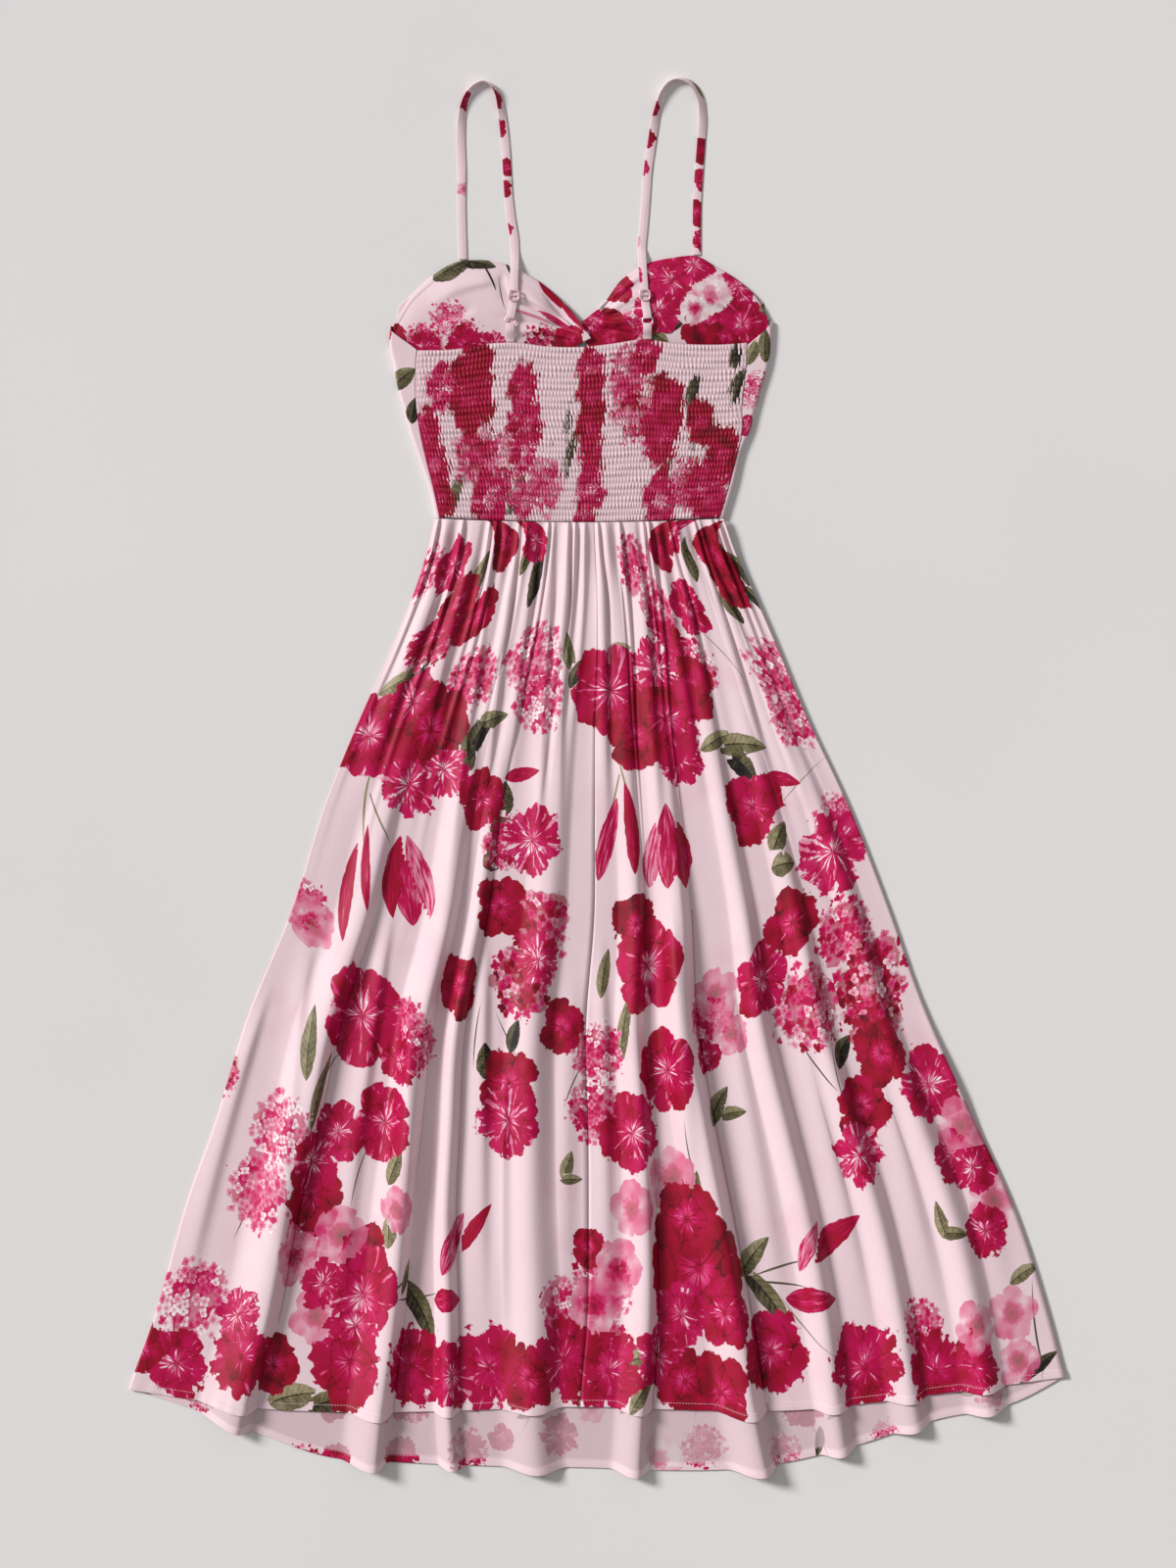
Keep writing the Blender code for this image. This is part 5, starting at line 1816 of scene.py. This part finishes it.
def make_ring(name, x, y, z, bar):
    """A strap ring, or with a bar a slider: a wire loop, pressed to its own outline."""
    deselect()
    bpy.ops.mesh.primitive_torus_add(
        major_segments=56, minor_segments=18, major_radius=RING_RADIUS * MM,
        minor_radius=WIRE / 2 * MM)
    ring = bpy.context.object
    ring.name = name
    squareness = SLIDER_SQUARENESS if bar else RING_SQUARENESS
    for vertex in ring.data.vertices:
        angle = math.atan2(vertex.co.y, vertex.co.x)
        out = 1 + squareness * (1 - math.cos(4 * angle)) / 2
        vertex.co.x *= out
        vertex.co.y *= out
        vertex.co.z *= WIRE_FLATNESS
    if bar:
        bpy.ops.mesh.primitive_cylinder_add(
            vertices=20, radius=WIRE * BAR_SHARE * MM, depth=2 * RING_RADIUS * MM,
            rotation=(0, math.pi / 2, 0))
        rod = bpy.context.object
        join = ring.modifiers.new("bar", "BOOLEAN")
        join.operation = "UNION"
        join.object = rod
        bpy.context.view_layer.objects.active = ring
        bpy.ops.object.modifier_apply(modifier="bar")
        bpy.data.objects.remove(rod, do_unlink=True)
    select_only(ring)
    ring.location = (x * MM, y * MM, z * MM)
    bpy.ops.object.transform_apply(location=True, rotation=True, scale=True)
    bpy.ops.object.shade_smooth_by_angle(angle=math.radians(40))
    return ring


# Properties and operators

class DressSizes(bpy.types.PropertyGroup):
    """Sizes of the dress and its stage that a user would change."""
    cloth_thickness: bpy.props.FloatProperty(
        name="Cloth thickness", description="Thickness of the printed cloth",
        default=0.0005, unit="LENGTH")
    skirt_step: bpy.props.FloatProperty(
        name="Skirt mesh step", description="Length of the skirt's faces down the cloth",
        default=0.006, unit="LENGTH")
    skirt_fineness: bpy.props.IntProperty(
        name="Skirt fineness", description="Fine columns for each of the solid's columns",
        default=5)
    ground_fade: bpy.props.FloatProperty(
        name="Wrong side's fade", description="How far the print is lost on the wrong side",
        default=0.6, subtype="FACTOR", min=0.0, max=1.0)
    floor_size: bpy.props.FloatProperty(
        name="Floor size", description="Width of the pale floor", default=6.0, unit="LENGTH")
    view_height: bpy.props.FloatProperty(
        name="View height", description="Height of the camera's view at the floor",
        default=1.6, unit="LENGTH")
    lens: bpy.props.FloatProperty(
        name="Lens", description="Focal length in millimetres", default=85.0)
    window_strength: bpy.props.FloatProperty(
        name="Window strength", description="Strength of the light from the upper left",
        default=3.15)
    window_softness: bpy.props.FloatProperty(
        name="Window softness", description="Angle of the window's light in degrees",
        default=16.0)
    sky_strength: bpy.props.FloatProperty(
        name="Room light", description="Strength of the even light from all round",
        default=0.31)


def color_property(name, description, *screen):
    """A colour that a user would change, from a screen colour."""
    return bpy.props.FloatVectorProperty(
        name=name, description=description, subtype="COLOR", size=4, default=paint(*screen))


class DressColors(bpy.types.PropertyGroup):
    """Colours of the print, the hardware and the floor."""
    ground: color_property("Ground", "The cloth's pale ground", 240, 214, 220)
    petal_white: color_property("Petal white", "The lightest petals", 250, 240, 241)
    pale_pink: color_property("Pale pink", "Washed petals and the stitching", 228, 152, 176)
    rose: color_property("Rose", "Half-deep petals", 216, 66, 122)
    magenta: color_property("Magenta", "Bright deep petals", 196, 8, 86)
    crimson: color_property("Crimson", "Deep petals", 160, 1, 40)
    maroon: color_property("Maroon", "The darkest petals", 88, 1, 22)
    dark_leaf: color_property("Dark leaf", "Leaves in shade", 34, 28, 26)
    olive: color_property("Olive", "Leaves and stems", 112, 104, 72)
    pale_olive: color_property("Pale olive", "Leaves in light", 172, 160, 128)
    wrong_side: color_property("Wrong side", "Ground of the cloth's wrong side", 206, 182, 187)
    # Painted shade colour of the shirred back's hollows, also used to darken the weave's threads and
    # slubs
    shade_and_weave: color_property("Hollow", "Tint where elastic thread pulls the cloth in", 176, 120, 128)
    hardware: color_property("Hardware", "Coated rings and sliders", 240, 206, 212)
    floor: color_property("Floor", "The plain floor", 228, 227, 226)


def sizes():
    return bpy.context.scene.dress_sizes


def material(name):
    """A finish of the dress, made when it is first asked for."""
    known = bpy.data.materials.get(name)
    if known:
        return known
    makers = {
        "printed satin": lambda: make_floral("printed satin"),
        "printed satin wrong side": lambda: make_floral("printed satin wrong side",
                                                        sizes().ground_fade),
        "pink sewing thread": make_thread,
        "pink coated hardware": make_coated_metal,
    }
    return makers[name]()


def both_sides():
    return [material("printed satin"), material("printed satin wrong side")]


class DRESS_OT_skirt_back(bpy.types.Operator):
    """Sew the two gathered back skirt panels"""
    bl_idname = "dress.skirt_back"
    bl_label = "Back skirt"

    def execute(self, context):
        left, right = skirt_layout(sizes().skirt_fineness)
        for name, columns, seam_column, hand in (("left", left, -1, -1), ("right", right, 0, 1)):
            piece, flat, points = make_skirt_back(
                "skirt_back_cloth_" + name, columns, seam_column, hand)
            dress(piece, "skirt_back_" + name, both_sides())
            print_on(piece, flat, points, SKIRT_MOTIFS, squeeze=SKIRT_SQUEEZE)
            stitches = make_stitches("hem_stitches_back_" + name, points[STITCH_ROW])
            dress(stitches, None, [material("pink sewing thread")])
            flat_size, area = sheet_size(points)
        return {"FINISHED"}


class DRESS_OT_skirt_front(bpy.types.Operator):
    """Sew the gathered front skirt, whose wrong side shows below the back hem"""
    bl_idname = "dress.skirt_front"
    bl_label = "Front skirt"

    def execute(self, context):
        size = sizes()
        left, right = skirt_layout(size.skirt_fineness - 1)
        columns = np.concatenate([left, right[:, 1:]], axis=1)
        columns[4, left.shape[1]:] += left[4, -1]
        rows = skirt_rows(FRONT_STEP_SHARE * size.skirt_step / MM)[:, None]
        downs = rows * (hem_downs(columns[2], front=True) - 1.0)
        form = skirt_points(columns, downs)
        fold = hem_fold(rows[:, 0])[:, None] + 0 * columns[2]
        upper = move_out(form, SOLID_CLOTH - LAYER_INSET + fold)
        cloth = skirt_cloth(upper, left.shape[1] - 1)
        piece, flat = make_sheet("skirt_front_cloth", upper, cloth)
        dress(piece, "skirt_front", both_sides()[::-1])
        band = (rows[:-1, 0] > 1 - FRONT_HEM_BAND / SKIRT_LENGTH).repeat(upper.shape[1] - 1)
        for index in np.flatnonzero(band):
            piece.data.polygons[index].material_index = 1
        motifs = scattered(-500, 500, -740, 270, FRONT_PRINT_PITCH, HIDDEN_SEED)
        print_on(piece, flat, upper, motifs)
        stitches = make_stitches("hem_stitches_front", upper[STITCH_ROW])
        dress(stitches, None, [material("pink sewing thread")])
        flat_size, area = sheet_size(upper)
        return {"FINISHED"}


class DRESS_OT_bodice_back(bpy.types.Operator):
    """Sew the shirred back"""
    bl_idname = "dress.bodice_back"
    bl_label = "Shirred back"

    def execute(self, context):
        piece, flat, points, painted_shade = make_bodice_back("shirred_back_cloth")
        dress(piece, "bodice_back", both_sides())
        print_on(piece, flat, points, BODICE_MOTIFS, squeeze=BODICE_SQUEEZE, painted_shade=painted_shade)
        flat_size, area = sheet_size(points)
        return {"FINISHED"}


class DRESS_OT_sides(bpy.types.Operator):
    """Sew the side panels and the front band"""
    bl_idname = "dress.sides"
    bl_label = "Side panels and front band"

    def execute(self, context):
        for name, side, hand in (("left", LEFT_SIDE, -1), ("right", RIGHT_SIDE, 1)):
            piece, flat, points = make_side_panel("side_cloth_" + name, side, hand)
            dress(piece, "side_panel_" + name, both_sides())
            print_on(piece, flat, points, SIDE_MOTIFS)
            flat_size, area = sheet_size(points)
        piece, flat, points = make_midriff("midriff_cloth")
        dress(piece, "front_midriff", both_sides())
        print_on(piece, flat, points, scattered(130, 480, 430, 560, BAND_PRINT_PITCH, HIDDEN_SEED + 1))
        flat_size, area = sheet_size(points)
        return {"FINISHED"}


class DRESS_OT_cups(bpy.types.Operator):
    """Sew the cups and their lining, which shows above the back"""
    bl_idname = "dress.cups"
    bl_label = "Cups"

    def execute(self, context):
        for name, cup, hand, side, motifs in (
                ("left", LEFT_CUP, -1, LEFT_SIDE, LEFT_CUP_MOTIFS),
                ("right", RIGHT_CUP, 1, RIGHT_SIDE, RIGHT_CUP_MOTIFS)):
            piece, flat, points = make_cup(name, cup, hand, side, False)
            dress(piece, "cup_" + name, both_sides())
            print_on(piece, flat, points, motifs)
            flat_size, area = sheet_size(points)
            piece, flat, points = make_cup(name, cup, hand, side, True)
            dress(piece, "cup_lining_" + name, both_sides())
            print_on(piece, flat, points, motifs)
            flat_size, area = sheet_size(points)
        return {"FINISHED"}


class DRESS_OT_straps(bpy.types.Operator):
    """Sew the straps and tabs, with their rings and sliders"""
    bl_idname = "dress.straps"
    bl_label = "Straps"

    def execute(self, context):
        for hardware, strap, motifs in ((HARDWARE[0], LEFT_STRAP, LEFT_STRAP_MOTIFS),
                                        (HARDWARE[1], RIGHT_STRAP, RIGHT_STRAP_MOTIFS)):
            side = hardware.side
            route, ring_z, over_wire = strap_route(strap, hardware)
            sew_strip("strap_cloth_" + side, "strap_" + side, route, motifs,
                      ["cup_lining_cloth_" + side])
            near = np.abs(route[:, 1] - hardware.slider_y) < SLIDER_REACH
            slider_z = route[near, 2].max() + SOLID_CLOTH / 2 + SEAM_GAP + WIRE / 2
            slider = make_ring("strap_slider_" + side, hardware.slider_x, hardware.slider_y,
                               slider_z, bar=True)
            ring = make_ring("strap_ring_" + side, hardware.ring_x, hardware.ring_y, ring_z,
                             bar=False)
            for item, node in ((slider, "slider_" + side), (ring, "ring_" + side)):
                dress(item, node, [material("pink coated hardware")])
            sew_strip("tab_cloth_" + side, "strap_tab_" + side, tab_route(hardware, over_wire),
                      [], ["shirred_back_cloth"])
        return {"FINISHED"}


class DRESS_OT_stage(bpy.types.Operator):
    """Lay out the pale floor, the studio light and the camera"""
    bl_idname = "dress.stage"
    bl_label = "Stage"

    def execute(self, context):
        size = sizes()
        deselect()
        bpy.ops.mesh.primitive_plane_add(size=size.floor_size)
        floor = bpy.context.object
        floor.name = "floor"
        graph = Graph("pale floor")
        place = graph.node("ShaderNodeTexCoord", {}, {}, "Object")
        cloud = graph.noise(place, 1.5, 3.0)
        graph.feed(graph.shader.inputs["Base Color"],
                   graph.mix(cloud * 0.6, colors().floor, colors().petal_white))
        graph.shader.inputs["Roughness"].default_value = 0.9
        floor.data.materials.append(graph.material)
        camera_data = bpy.data.cameras.new("camera")
        camera_data.lens = size.lens
        camera_data.sensor_fit = "VERTICAL"
        half_angle = math.atan(camera_data.sensor_height / 2 / size.lens)
        camera = bpy.data.objects.new("camera", camera_data)
        distance = size.view_height / 2 / math.tan(half_angle)
        camera.location = (VIEW_MIDDLE[0] * MM, VIEW_MIDDLE[1] * MM, distance)
        context.scene.collection.objects.link(camera)
        context.scene.camera = camera
        sun_data = bpy.data.lights.new("window", "SUN")
        sun_data.energy = size.window_strength
        sun_data.angle = math.radians(size.window_softness)
        sun = bpy.data.objects.new("window", sun_data)
        sun.rotation_euler = Vector(WINDOW_FROM).to_track_quat("Z", "Y").to_euler()
        context.scene.collection.objects.link(sun)
        world = bpy.data.worlds.new("studio")
        world.use_nodes = True
        world.node_tree.nodes["Background"].inputs["Color"].default_value = (1, 1, 1, 1)
        world.node_tree.nodes["Background"].inputs["Strength"].default_value = size.sky_strength
        context.scene.world = world
        context.scene.view_settings.view_transform = "Standard"
        return {"FINISHED"}


class DRESS_PT_panel(bpy.types.Panel):
    """Sizes and steps of the dress"""
    bl_label = "Slip dress"
    bl_idname = "DRESS_PT_panel"
    bl_space_type = "VIEW_3D"
    bl_region_type = "UI"
    bl_category = "Dress"

    def draw(self, context):
        for group in (context.scene.dress_sizes, context.scene.dress_colors):
            for name in type(group).__annotations__:
                self.layout.prop(group, name)
        for step in STEPS:
            self.layout.operator(step.bl_idname)


STEPS = (
    DRESS_OT_stage,
    DRESS_OT_skirt_front,
    DRESS_OT_skirt_back,
    DRESS_OT_sides,
    DRESS_OT_bodice_back,
    DRESS_OT_cups,
    DRESS_OT_straps,
)
CLASSES = (DressSizes, DressColors, *STEPS, DRESS_PT_panel)


def register():
    for item in CLASSES:
        bpy.utils.register_class(item)
    bpy.types.Scene.dress_sizes = bpy.props.PointerProperty(type=DressSizes)
    bpy.types.Scene.dress_colors = bpy.props.PointerProperty(type=DressColors)


def unregister():
    del bpy.types.Scene.dress_colors
    del bpy.types.Scene.dress_sizes
    for item in reversed(CLASSES):
        bpy.utils.unregister_class(item)


def main():
    register()
    for step in STEPS:
        group, name = step.bl_idname.split(".")
        getattr(getattr(bpy.ops, group), name)()
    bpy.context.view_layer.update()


if __name__ == "__main__":
    main()
